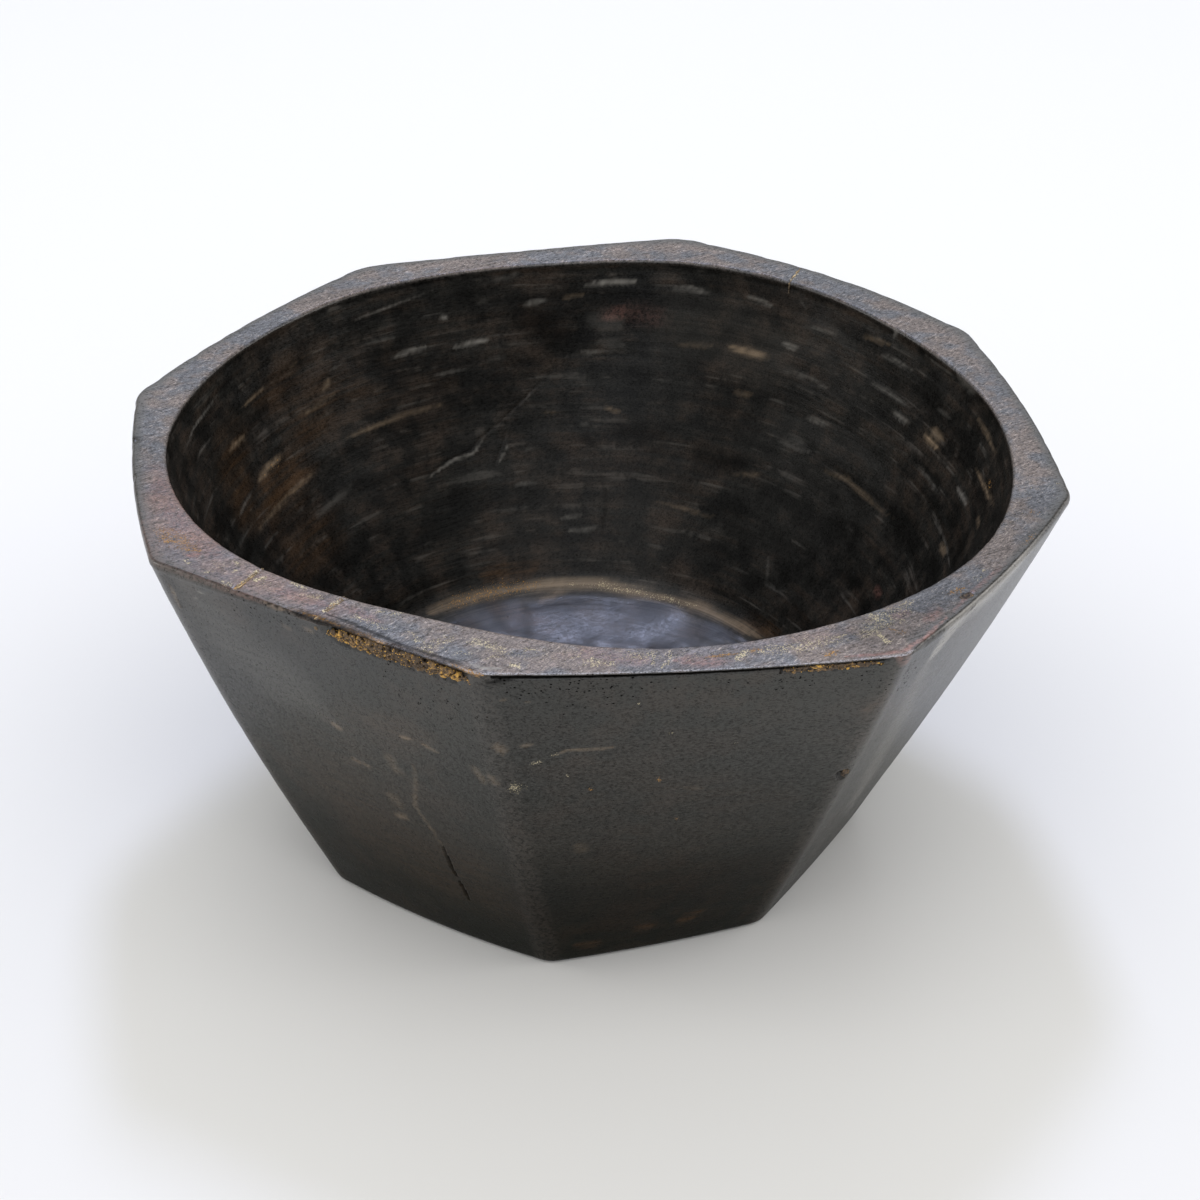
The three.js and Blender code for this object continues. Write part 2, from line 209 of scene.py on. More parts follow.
@dataclass(frozen=True)
class BlockForm:
    """The eight-sided block. Reaches and sizes are in millimetres and turns in degrees.

    Corner 0 is the front one, and the rest follow anticlockwise seen from above.
    """

    height: float = 109.0
    rim_reaches: tuple[float, ...] = (119.6, 128.3, 122.0, 120.5, 128.3, 123.2, 122.6, 125.0)
    rim_turns: tuple[float, ...] = (-102.4, -56.4, -14.5, 32.2, 78.4, 123.7, 170.4, 212.6)
    foot_reaches: tuple[float, ...] = (79.1, 74.3, 72.1, 75.0, 77.0, 75.5, 77.4, 78.5)
    foot_turns: tuple[float, ...] = (-97.6, -54.9, -7.8, 36.5, 82.0, 127.0, 172.0, 213.5)
    rim_bows: tuple[float, ...] = (2.1, 2.6, 2.2, 4.8, 0.7, 2.4, 2.1, 0.4)
    foot_bows: tuple[float, ...] = (0.8, 0.4, 1.6, 1.6, 1.6, 1.6, 1.6, 1.9)
    ridge_bellies: tuple[float, ...] = (3.8, 1.3, 1.7, 2.0, 2.0, 2.0, 2.1, 2.2)
    corner_rounds: tuple[float, ...] = (3.2, 3.2, 3.6, 7.0, 8.0, 8.0, 6.0, 3.6)
    rim_roll_drop: float = 2.8
    rim_roll_inset: float = 1.6
    # Places round the bowl, and how much of the rim's full roll there is: the front edge is crisp.
    rim_roll_knots: tuple[tuple[float, float], ...] = (
        (0.0, 0.20), (0.97, 0.20), (1.05, 1.0), (7.19, 1.0), (7.47, 0.50), (7.96, 0.25), (8.0, 0.20),
    )
    foot_roll_rise: float = 2.0
    foot_roll_inset: float = 1.8
    skin_inset: float = 0.27

    def corner(self, index: np.ndarray, height: np.ndarray, inset: np.ndarray) -> np.ndarray:
        """Corner points of the block.

        Args:
            index: Which corner, one each.
            height: Height above the table, one each.
            inset: How far the outline is drawn in, one each.

        Returns:
            x and y of each, one row each.
        """
        at = index % SIDES
        rise = height / self.height
        turn = np.radians(self.pick(self.foot_turns, at) * (1 - rise) + self.pick(self.rim_turns, at) * rise)
        reach = self.pick(self.foot_reaches, at) * (1 - rise) + self.pick(self.rim_reaches, at) * rise
        reach = reach + self.pick(self.ridge_bellies, at) * 4 * rise * (1 - rise)
        reach = reach - inset / math.cos(math.pi / SIDES)
        return np.stack([reach * np.cos(turn), reach * np.sin(turn)], axis=1)

    @staticmethod
    def pick(values: tuple[float, ...], at: np.ndarray) -> np.ndarray:
        """The value of each index in a row of values."""
        return np.asarray(values)[at]

    def side(self, index: np.ndarray, height: np.ndarray, inset: np.ndarray) -> tuple[np.ndarray, ...]:
        """Start, crown and end of the curve of a side, and its outward direction.

        Args:
            index: Which side, one each.
            height: Height above the table, one each.
            inset: How far the outline is drawn in, one each.

        Returns:
            Four arrays, one row each.
        """
        first = self.corner(index, height, inset)
        second = self.corner(index + 1, height, inset)
        run = second - first
        length = np.linalg.norm(run, axis=1, keepdims=True)
        at = index % SIDES
        start = first + run * self.pick(self.corner_rounds, at)[:, None] / length
        end = second - run * self.pick(self.corner_rounds, (at + 1) % SIDES)[:, None] / length
        rise = height / self.height
        bow = self.pick(self.foot_bows, at) * (1 - rise) + self.pick(self.rim_bows, at) * rise
        outward = np.stack([run[:, 1], -run[:, 0]], axis=1) / length
        crown = (start + end) / 2 + outward * 2 * bow[:, None]
        return start, crown, end, outward

    def outline(self, around: np.ndarray, height: np.ndarray, inset: np.ndarray) -> np.ndarray:
        """Points of the outside.

        Args:
            around: Place round the bowl, where corner n is at n.
            height: Height above the table, one each.
            inset: How far the outline is drawn in, one each.

        Returns:
            x and y of each, one row each.
        """
        index = np.floor(around).astype(int)
        within = around - index
        drawn = inset + self.skin_inset
        start, crown, end, _ = self.side(index, height, drawn)
        following = self.side(index + 1, height, drawn)[0]
        corner = self.corner(index + 1, height, drawn)
        on_side = quadratic(start, crown, end, np.clip(within / SIDE_SPAN, 0, 1))
        bend = np.clip((within - SIDE_SPAN) / (1 - SIDE_SPAN), 0, 1)
        on_bend = quadratic(end, corner, following, bend)
        return np.where((within < SIDE_SPAN)[:, None], on_side, on_bend)

    def roll_share(self, around: np.ndarray) -> np.ndarray:
        """How much of the rim's full roll there is at each place round the bowl."""
        places, shares = np.array(self.rim_roll_knots).T
        return np.interp(around % SIDES, places, shares)

    def outward(self, around: np.ndarray) -> np.ndarray:
        """Level unit direction out of the side at each place round the bowl.

        Args:
            around: Places round the bowl.

        Returns:
            One direction per row.
        """
        index = np.floor(around).astype(int)
        flat = np.full(len(around), self.height)
        facing = self.side(index, flat, 0 * flat)[3]
        return np.concatenate([facing, np.zeros((len(around), 1))], axis=1)


@dataclass(frozen=True)
class HollowForm:
    """The hollow, turned about an axis of its own, in millimetres and degrees."""

    rim_height: float = 109.0
    mouth_reach: float = 105.0
    lip_round: float = 1.6
    wall_belly: float = 4.5
    floor_reach: float = 61.0
    floor_edge_height: float = 25.0
    floor_centre_height: float = 17.0
    floor_round: float = 9.0
    floor_edge_dip: float = 1.2
    mouth_centre: tuple[float, float] = (-0.2, 1.1)
    floor_centre: tuple[float, float] = (-4.0, 6.0)
    wave_lobes: tuple[int, ...] = (2, 3, 5, 7)
    wave_swells: tuple[float, ...] = (1.6, 2.8, 0.8, 0.5)
    wave_crests: tuple[float, ...] = (-29.0, -49.0, -7.0, 16.0)
    floor_wave_share: float = 0.35
    # Where the blade cut the mouth wider or left it narrower: turn, push and width of turn
    cuts: tuple[tuple[float, float, float], ...] = ((79.0, 0.8, 9.0), (129.0, 1.2, 13.0), (167.0, -1.4, 15.0))
    samples: int = 60

    def section(self, stretch: Stretch, share: np.ndarray) -> np.ndarray:
        """Reach and height along one stretch of the hollow's section, from the rim inwards.

        Args:
            stretch: LIP, WALL, FLOOR_EDGE or FLOOR.
            share: How far along the stretch, from 0 to 1.

        Returns:
            Reach and height of each, one row each.
        """
        edge = np.array([self.floor_reach, self.floor_edge_height])
        floor_end = edge - (self.floor_round, self.floor_edge_dip)
        lip_start = np.array([self.mouth_reach, self.rim_height - self.lip_round])
        run = (lip_start - edge) / np.linalg.norm(lip_start - edge)
        wall_start = edge + run * self.floor_round
        out = np.array([run[1], -run[0]])
        controls = {
            Stretch.LIP: (
                np.array([self.mouth_reach + self.lip_round, self.rim_height]),
                np.array([self.mouth_reach + self.lip_round / 4, self.rim_height]),
                lip_start,
            ),
            Stretch.WALL: (lip_start, (wall_start + lip_start) / 2 + out * 2 * self.wall_belly, wall_start),
            Stretch.FLOOR_EDGE: (wall_start, edge, floor_end),
            Stretch.FLOOR: (
                floor_end,
                np.array([floor_end[0] / 2, self.floor_centre_height]),
                np.array([0.0, self.floor_centre_height]),
            ),
        }
        start, crown, end = controls[stretch]
        return quadratic(start[None], crown[None], end[None], share)

    def reach_at(self, height: np.ndarray) -> np.ndarray:
        """Reach of the wall and lip at a height.

        Args:
            height: Heights above the table.

        Returns:
            The reach at each.
        """
        shares = np.linspace(0, 1, self.samples)
        parts = [self.section(s, shares) for s in (Stretch.FLOOR_EDGE, Stretch.WALL, Stretch.LIP)]
        line = np.concatenate([part[::-1] for part in parts])
        return np.interp(height, line[:, 1], line[:, 0])

    def point(self, reach: np.ndarray, turn: np.ndarray, height: np.ndarray) -> np.ndarray:
        """Where a point of the true round hollow goes, once it is pushed by the waves of the mouth.

        Args:
            reach: Distance from the hollow's axis.
            turn: Angle about the axis from +X, in radians.
            height: Height above the table.

        Returns:
            One point per row.
        """
        rise = np.clip((height - self.floor_edge_height) / (self.rim_height - self.floor_edge_height), 0, 1)
        wave = sum(
            swell * np.cos(lobes * (turn - math.radians(crest)))
            for lobes, swell, crest in zip(self.wave_lobes, self.wave_swells, self.wave_crests)
        )
        weight = self.floor_wave_share + (1 - self.floor_wave_share) * rise
        for middle, push, width in self.cuts:
            away = (np.degrees(turn) - middle + 180) % 360 - 180
            wave = wave + push * np.exp(-(away / width) ** 2) * rise / weight
        pushed = reach * (1 + wave * weight / self.mouth_reach)
        centre = np.outer(1 - rise, self.floor_centre) + np.outer(rise, self.mouth_centre)
        return np.stack([
            centre[:, 0] + pushed * np.cos(turn),
            centre[:, 1] + pushed * np.sin(turn),
            height,
        ], axis=1)


@dataclass(frozen=True)
class RimCheck:
    """A check across the rim: a wedge from the hollow to the outside that narrows downwards."""

    start: tuple[float, float]
    end: tuple[float, float]
    width: float
    depth: float
    foot_share: float = 0.35
    raggedness: float = 0.22

    def line(self, height: float) -> np.ndarray:
        """The check's line on the rim."""
        return np.array([[*self.start, height], [*self.end, height]])

    def drop(self, points: np.ndarray) -> np.ndarray:
        """How far the rim drops at each point, from its place in plan.

        Args:
            points: Places in millimetres.

        Returns:
            The drop at each.
        """
        flat = points * (1, 1, 0)
        away, _ = distance_to_line(flat, self.line(0))
        away = away + self.raggedness * noise_at(flat, 1.3, 4.0)
        half = self.width / 2
        return self.depth * np.clip((half - away) / (half * (1 - self.foot_share)), 0, 1)


@dataclass(frozen=True)
class PlugPocket:
    """The oblong pocket in the right rim."""

    centre: tuple[float, float] = (86.2, -79.5)
    turn: float = 40.0
    length: float = 4.2
    width: float = 2.0
    depth: float = 0.35
    edge: float = 0.5

    def line(self, height: float) -> np.ndarray:
        """The pocket's middle line.

        Args:
            height: Height above the table.

        Returns:
            Its two ends.
        """
        half = (self.length - self.width) / 2
        along = np.array([math.cos(math.radians(self.turn)), math.sin(math.radians(self.turn))]) * half
        ends = [np.array(self.centre) - along, np.array(self.centre) + along]
        return np.array([[*end, height] for end in ends])

    def drop(self, points: np.ndarray) -> np.ndarray:
        """How far the rim drops at each point, from its place in plan."""
        away, _ = distance_to_line(points * (1, 1, 0), self.line(0))
        return self.depth * smooth(self.width / 2, self.width / 2 - self.edge, away)


@dataclass(frozen=True)
class ArrisChip:
    """A ragged scoop under the edge of the rim, along one side, deepest just below its upper edge.

    The mesh is cut to its edge length there, and where it is deeper than black it is painted black, as the
    shadow under the rim's overhang.
    """

    side: int
    start: float
    end: float
    top: float
    bottom: float
    depth: float
    taper: float = 0.16
    raggedness: float = 0.3
    lip: float = 0.12
    edge: float = 0.42
    black: float = 9.0

    def cover(self, around: np.ndarray, points: np.ndarray) -> np.ndarray:
        """The scoop's depth at each point, from its place round the bowl and its place in millimetres.

        Args:
            around: Places round the bowl.
            points: Places in millimetres.

        Returns:
            The depth at each, and 0 beside the scoop.
        """
        along = (around % SIDES - self.side) / SIDE_SPAN
        share = (along - self.start) / (self.end - self.start)
        inside = (share > 0) & (share < 1)
        ragged = self.raggedness * (noise_at(points, 2.6, 7.0) + noise_at(points, 0.9, 2.0) / 2)
        fullness = smooth(0, self.taper, share) * smooth(0, self.taper, 1 - share) * (1 + ragged)
        tall = (self.top - self.bottom) * (0.45 + 0.55 * fullness)
        down = (self.top + 0.25 * ragged - points[:, 2]) / tall
        section = smooth(0, self.lip, down) * np.clip(1 - down, 0, 1) ** 0.7
        return np.where(inside, self.depth * fullness * section, 0.0)


@dataclass(frozen=True)
class Split:
    """A split: a ragged groove along a line of places on the skin, which is black inside where open."""

    width: float
    depth: float
    line: tuple[tuple[float, float], ...]
    side: int | None = None
    open: bool = True
    # How wide its ends are as a share of its middle, and how bulging its flanks.
    end_share: float = 0.25
    flank: float = 0.8

    def places(self, block: BlockForm, hollow: HollowForm) -> np.ndarray:
        """The line in millimetres, from shares and heights on a side or turns and heights in the hollow.

        Args:
            block: The block that it may lie on.
            hollow: The hollow that it may lie in.

        Returns:
            One point per row.
        """
        first, height = np.array(self.line).T
        if self.side is None:
            return hollow.point(hollow.reach_at(height), np.radians(first), height)
        spots = block.outline(self.side + SIDE_SPAN * first, height, 0 * height)
        return np.concatenate([spots, height[:, None]], axis=1)


@dataclass(frozen=True)
class Dent:
    """A small knock in the skin, placed by a pixel of the photograph. Its sizes are in millimetres."""

    pixel: Pixel
    radius: float
    depth: float
    raggedness: float = 0.25

    def press(self, points: np.ndarray, spot: np.ndarray) -> np.ndarray:
        """The knock's depth.

        Args:
            points: Places in millimetres.
            spot: The middle of the knock.

        Returns:
            The depth at each place.
        """
        away = np.linalg.norm(points - spot, axis=1)
        uneven = np.where(away < 2 * self.radius, noise_at(points, 1.4, 6.0), 0)
        away += self.raggedness * self.radius * uneven
        return self.depth * (1 - np.clip(away / self.radius, 0, 1) ** 2) ** 2


@dataclass(frozen=True)
class Mark:
    """A mark on the wood, placed by the pixels of the photograph that it runs through.

    Its width is in millimetres, and its strength goes from 0 to 1.
    """

    tone: Tone
    width: float
    strength: float
    pixels: tuple[Pixel, ...]
    ragged: float


def strokes(tone: Tone, *rows: tuple[float, ...], ragged: float = 0.35) -> list[Mark]:
    """Marks of one tone.

    Args:
        tone: Their tone.
        rows: For each mark its width, its strength, and x and y of each of its pixels.
        ragged: How ragged their outlines are, as a share of half the width.

    Returns:
        One mark for each row.
    """
    return [Mark(tone, row[0], row[1], tuple(zip(row[2::2], row[3::2])), ragged) for row in rows]


@dataclass(frozen=True)
class PhotoCamera:
    """The camera that took the photograph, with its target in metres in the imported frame."""

    picture_side: float = 1200.0
    focal_pixels: float = 2999.0
    sensor: float = 36.0
    elevation: float = 30.52
    roll: float = 0.6
    target: tuple[float, float, float] = (0.00278, -0.08678, 0.109)
    distance: float = 0.68862

    def axes(self) -> tuple[Vector, Vector, Vector]:
        """Right, up and forward directions of the picture.

        Returns:
            Three unit vectors.
        """
        rise = math.radians(self.elevation)
        forward = Vector((0, math.cos(rise), -math.sin(rise)))
        right = Vector((1, 0, 0))
        up = right.cross(forward)
        turn = math.radians(self.roll)
        turned_right = right * math.cos(turn) + up * math.sin(turn)
        turned_up = up * math.cos(turn) - right * math.sin(turn)
        return turned_right, turned_up, forward

    def place(self) -> Vector:
        """Where the camera stands."""
        return Vector(self.target) - self.axes()[2] * self.distance

    def ray(self, pixel: Pixel) -> Vector:
        """Direction through a pixel of the photograph.

        Args:
            pixel: Its x and y.

        Returns:
            A unit vector.
        """
        right, up, forward = self.axes()
        middle = self.picture_side / 2
        across = (pixel[0] - middle) / self.focal_pixels
        upwards = (middle - pixel[1]) / self.focal_pixels
        return (forward + right * across + up * upwards).normalized()

    def build(self) -> bpy.types.Object:
        """Makes it the scene's camera.

        Returns:
            The camera.
        """
        data = bpy.data.cameras.new("photo_camera")
        data.sensor_width = self.sensor
        data.lens = self.focal_pixels / self.picture_side * self.sensor
        camera = linked_object("photo_camera", data)
        right, up, forward = self.axes()
        turned = Matrix((right, up, -forward)).transposed().to_4x4()
        camera.matrix_world = Matrix.Translation(self.place()) @ turned
        bpy.context.scene.camera = camera
        return camera


class NodeGraph:
    """Nodes of one tree, added by type, settings and inputs."""

    def __init__(self, tree: bpy.types.NodeTree) -> None:
        """Keeps the tree."""
        self.tree = tree

    def node(self, kind: str, settings: dict | None = None, inputs: dict | None = None) -> bpy.types.Node:
        """Adds a node.

        Args:
            kind: The node's type.
            settings: Its own properties, which are set first.
            inputs: Values or links of its sockets, by name or number.

        Returns:
            The node.
        """
        made = self.tree.nodes.new(kind)
        for name, value in (settings or {}).items():
            setattr(made, name, value)
        for name, value in (inputs or {}).items():
            self.feed(made.inputs[name], value)
        return made

    def feed(self, socket: bpy.types.NodeSocket, value: object) -> None:
        """Links a socket to another, or sets its value.

        Args:
            socket: The input.
            value: A socket, a Signal, or a plain value.
        """
        source = value.socket if isinstance(value, Signal) else value
        if isinstance(source, bpy.types.NodeSocket):
            self.tree.links.new(source, socket)
        elif socket.type == "RGBA" and len(source) == 3:
            socket.default_value = (*source, 1.0)
        else:
            socket.default_value = source


class Signal:
    """A number in a shader, so that shader maths reads as Python expressions."""

    def __init__(self, graph: NodeGraph, socket: bpy.types.NodeSocket) -> None:
        """Keeps the graph and the socket that gives the number."""
        self.graph = graph
        self.socket = socket

    def math(self, operation: str, first: object, second: object) -> "Signal":
        """A Math node on two numbers."""
        made = self.graph.node("ShaderNodeMath", {"operation": operation}, {0: first, 1: second})
        return Signal(self.graph, made.outputs[0])

    def __add__(self, other: object) -> "Signal":
        """self + other"""
        return self.math("ADD", self, other)

    __radd__ = __add__

    def __sub__(self, other: object) -> "Signal":
        """self - other"""
        return self.math("SUBTRACT", self, other)

    def __rsub__(self, other: float) -> "Signal":
        """other - self"""
        return self.math("SUBTRACT", other, self)

    def __mul__(self, other: object) -> "Signal":
        """self * other"""
        return self.math("MULTIPLY", self, other)

    __rmul__ = __mul__

    def least(self, other: object) -> "Signal":
        """The smaller of two numbers."""
        return self.math("MINIMUM", self, other)

    def most(self, other: object) -> "Signal":
        """The larger of two numbers."""
        return self.math("MAXIMUM", self, other)

    def step(self, low: object, high: object) -> "Signal":
        """Smooth step of this number.

        Args:
            low: Where it starts to rise from 0.
            high: Where it reaches 1.

        Returns:
            A number from 0 to 1.
        """
        inputs = {"Value": self, "From Min": low, "From Max": high}
        made = self.graph.node("ShaderNodeMapRange", {"interpolation_type": "SMOOTHSTEP"}, inputs)
        return Signal(self.graph, made.outputs["Result"])


@dataclass(frozen=True)
class Pattern:
    """A noise pattern: the width of its swells, its detail and its roughness."""

    size: float
    detail: float = 2.0
    rough: float = 0.5


class Palette(NodeGraph):
    """The shader of one finish, with the patterns that its colours are built from."""

    def __init__(self, name: str) -> None:
        """Starts an empty material.

        Args:
            name: The material's name.
        """
        self.material = bpy.data.materials.new(name)
        self.material.use_nodes = True
        super().__init__(self.material.node_tree)
        self.tree.nodes.clear()
        coordinates = self.node("ShaderNodeTexCoord")
        self.place = self.scaled(coordinates.outputs["Object"], (1 / MM,) * 3)

    def scaled(self, vector: bpy.types.NodeSocket, by: Sequence[float]) -> bpy.types.NodeSocket:
        """A vector times a number for each axis."""
        made = self.node("ShaderNodeVectorMath", {"operation": "MULTIPLY"}, {0: vector, 1: by})
        return made.outputs[0]

    def turned(self, vector: bpy.types.NodeSocket, turn: float, stretch: float) -> bpy.types.NodeSocket:
        """A vector turned about Z and then stretched on its turned X axis.

        Args:
            vector: The vector.
            turn: The angle in degrees.
            stretch: How much longer a pattern gets on that axis.

        Returns:
            The turned vector.
        """
        inputs = {"Vector": vector, "Rotation": (0, 0, math.radians(turn))}
        made = self.node("ShaderNodeMapping", None, inputs)
        return self.scaled(made.outputs[0], (1 / stretch, 1.0, 1.0))

    def moved(self, vector: bpy.types.NodeSocket, by: Signal) -> bpy.types.NodeSocket:
        """A vector with a number added on each axis."""
        made = self.node("ShaderNodeVectorMath", {"operation": "ADD"}, {0: vector, 1: by})
        return made.outputs[0]

    def level(self) -> Signal:
        """Height above the table, in millimetres."""
        made = self.node("ShaderNodeSeparateXYZ", None, {0: self.place})
        return Signal(self, made.outputs[2])

    def attribute(self, name: str) -> Signal:
        """A number kept on the mesh."""
        made = self.node("ShaderNodeAttribute", {"attribute_name": name})
        return Signal(self, made.outputs["Fac"])

    def vector_attribute(self, name: str) -> bpy.types.NodeSocket:
        """A vector kept on the mesh."""
        return self.node("ShaderNodeAttribute", {"attribute_name": name}).outputs["Vector"]

    def noise(self, vector: bpy.types.NodeSocket, pattern: Pattern) -> Signal:
        """Noise from 0 to 1.

        Args:
            vector: Where.
            pattern: Its size and kind.

        Returns:
            The noise.
        """
        detail = {"Detail": pattern.detail, "Roughness": pattern.rough}
        made = self.node("ShaderNodeTexNoise", None, {"Vector": vector, "Scale": 1 / pattern.size, **detail})
        return Signal(self, made.outputs[0])

    def cells(self, vector: bpy.types.NodeSocket, size: float) -> tuple[Signal, Signal]:
        """Scattered dots.

        Args:
            vector: Where.
            size: Distance between the dots.

        Returns:
            The distance to the nearest dot, and a number from 0 to 1 that is that dot's own.
        """
        made = self.node("ShaderNodeTexVoronoi", None, {"Vector": vector, "Scale": 1 / size})
        split = self.node("ShaderNodeSeparateColor", None, {0: made.outputs["Color"]})
        return Signal(self, made.outputs["Distance"]), Signal(self, split.outputs[0])

    def blend(self, first: object, second: object, share: object) -> bpy.types.NodeSocket:
        """One colour going over into another."""
        made = self.node("ShaderNodeMix", {"data_type": "RGBA"}, {"Factor": share, 6: first, 7: second})
        return made.outputs[2]

    def shaded(self, colour: object, level: Signal) -> bpy.types.NodeSocket:
        """A colour times a number."""
        made = self.node("ShaderNodeVectorMath", {"operation": "SCALE"}, {0: colour, "Scale": level})
        return made.outputs[0]

    def finish(self, colour: object, roughness: object, height: Signal, ior: float = 1.5,
               oiled: Signal | None = None, oiled_ior: float = 1.5) -> bpy.types.Material:
        """Ends the shader.

        Args:
            colour: Base colour.
            roughness: Roughness.
            height: Relief in millimetres, for the bump.
            ior: Index of refraction.
            oiled: How much of the surface is oiled, which mirrors more.
            oiled_ior: Index of refraction where it is oiled.

        Returns:
            The material.
        """
        bump = self.node("ShaderNodeBump", None, {"Height": height, "Distance": MM, "Strength": 1.0})
        skin = {"Base Color": colour, "Roughness": roughness, "Normal": bump.outputs[0]}
        surface = self.node("ShaderNodeBsdfPrincipled", None, {**skin, "IOR": ior}).outputs[0]
        if oiled is not None:
            wet = self.node("ShaderNodeBsdfPrincipled", None, {**skin, "IOR": oiled_ior}).outputs[0]
            surface = self.node("ShaderNodeMixShader", None, {0: oiled, 1: surface, 2: wet}).outputs[0]
        self.node("ShaderNodeOutputMaterial", None, {"Surface": surface})
        return self.material


@dataclass(frozen=True)
class Hardwood:
    """The dark oiled hardwood, with the colours of its zones and marks. The sizes are in millimetres."""

    rim: Colour = (0.158, 0.126, 0.110)
    rim_cool: Colour = (0.110, 0.112, 0.123)
    rim_hair: Colour = (0.430, 0.370, 0.320)
    # Painted glint along the crisp front edge of the rim.
    edge: Colour = (0.50, 0.50, 0.54)
    facet: Colour = (0.0082, 0.0086, 0.0060)
    facet_warm: Colour = (0.0170, 0.0125, 0.0080)
    hollow: Colour = (0.0115, 0.0110, 0.0098)
    hollow_warm: Colour = (0.024, 0.0178, 0.0135)
    brown: Colour = (0.062, 0.033, 0.015)
    rose: Colour = (0.260, 0.120, 0.095)
    ochre: Colour = (0.58, 0.31, 0.085)
    cream: Colour = (0.74, 0.64, 0.42)
    pale: Colour = (0.255, 0.240, 0.215)
    tan: Colour = (0.340, 0.250, 0.165)
    # Near black: pores, open splits, the dark marks, and the painted shadow under the front rim's overhang.
    deep: Colour = (0.0025, 0.0020, 0.0016)
    # Patterns that run no special way.
    broad: Pattern = Pattern(34.0, 3.0)
    patchy: Pattern = Pattern(8.0, 3.0, 0.6)
    fine: Pattern = Pattern(1.1, 3.0, 0.65)
    grit: Pattern = Pattern(0.34, 2.0, 0.6)
    dot: Pattern = Pattern(0.38, 2.0, 0.6)
    dust: Pattern = Pattern(0.45, 2.0, 0.6)
    pore_spacing: float = 0.92
    # Patterns along the grain and along the scratches across it, with their turns in degrees.
    fibre: Pattern = Pattern(0.38, 2.5, 0.6)
    band: Pattern = Pattern(3.4)
    hair: Pattern = Pattern(0.32, 1.5)
    strand: Pattern = Pattern(0.19, 2.0, 0.6)
    fibre_turn: float = 33.0
    hair_turn: float = 60.0
    fibre_stretch: float = 14.0
    hair_stretch: float = 1 / 0.14
    strand_stretch: float = 3.4
    pore_stretch: float = 1 / 0.7
    # Strokes that run round the bowl: their kind, their length and how many there are per millimetre up.
    dash: Pattern = Pattern(1.0)
    brush: Pattern = Pattern(1.0, 3.0, 0.55)
    stroke: Pattern = Pattern(1.0, 2.0, 0.6)
    sweep_reach: float = 90.0
    dash_length: float = 26.0
    brush_length: float = 34.0
    dash_rise: float = 0.6
    brush_rise: float = 0.8
    stroke_rise: float = 0.2
    dry_ior: float = 1.10
    oiled_ior: float = 1.62
    # How oiled the wood is in each zone. On the facets that grows with the height above the table.
    facet_oil: float = 1.02
    rim_oil: float = 0.46
    wall_oil: float = 0.125
    floor_oil: float = 1.0
    oil_rise: tuple[float, float] = (6.0, 100.0)
    floor_rise: tuple[float, float] = (22.0, 30.0)

    def build(self) -> bpy.types.Material:
        """Builds the shader.

        Returns:
            The material.
        """
        wood = WoodShader(self)
        roughness, relief, oil = wood.roughness(), wood.relief(), wood.oil()
        return wood.finish(wood.colour(), roughness, relief, self.dry_ior, oil, self.oiled_ior)


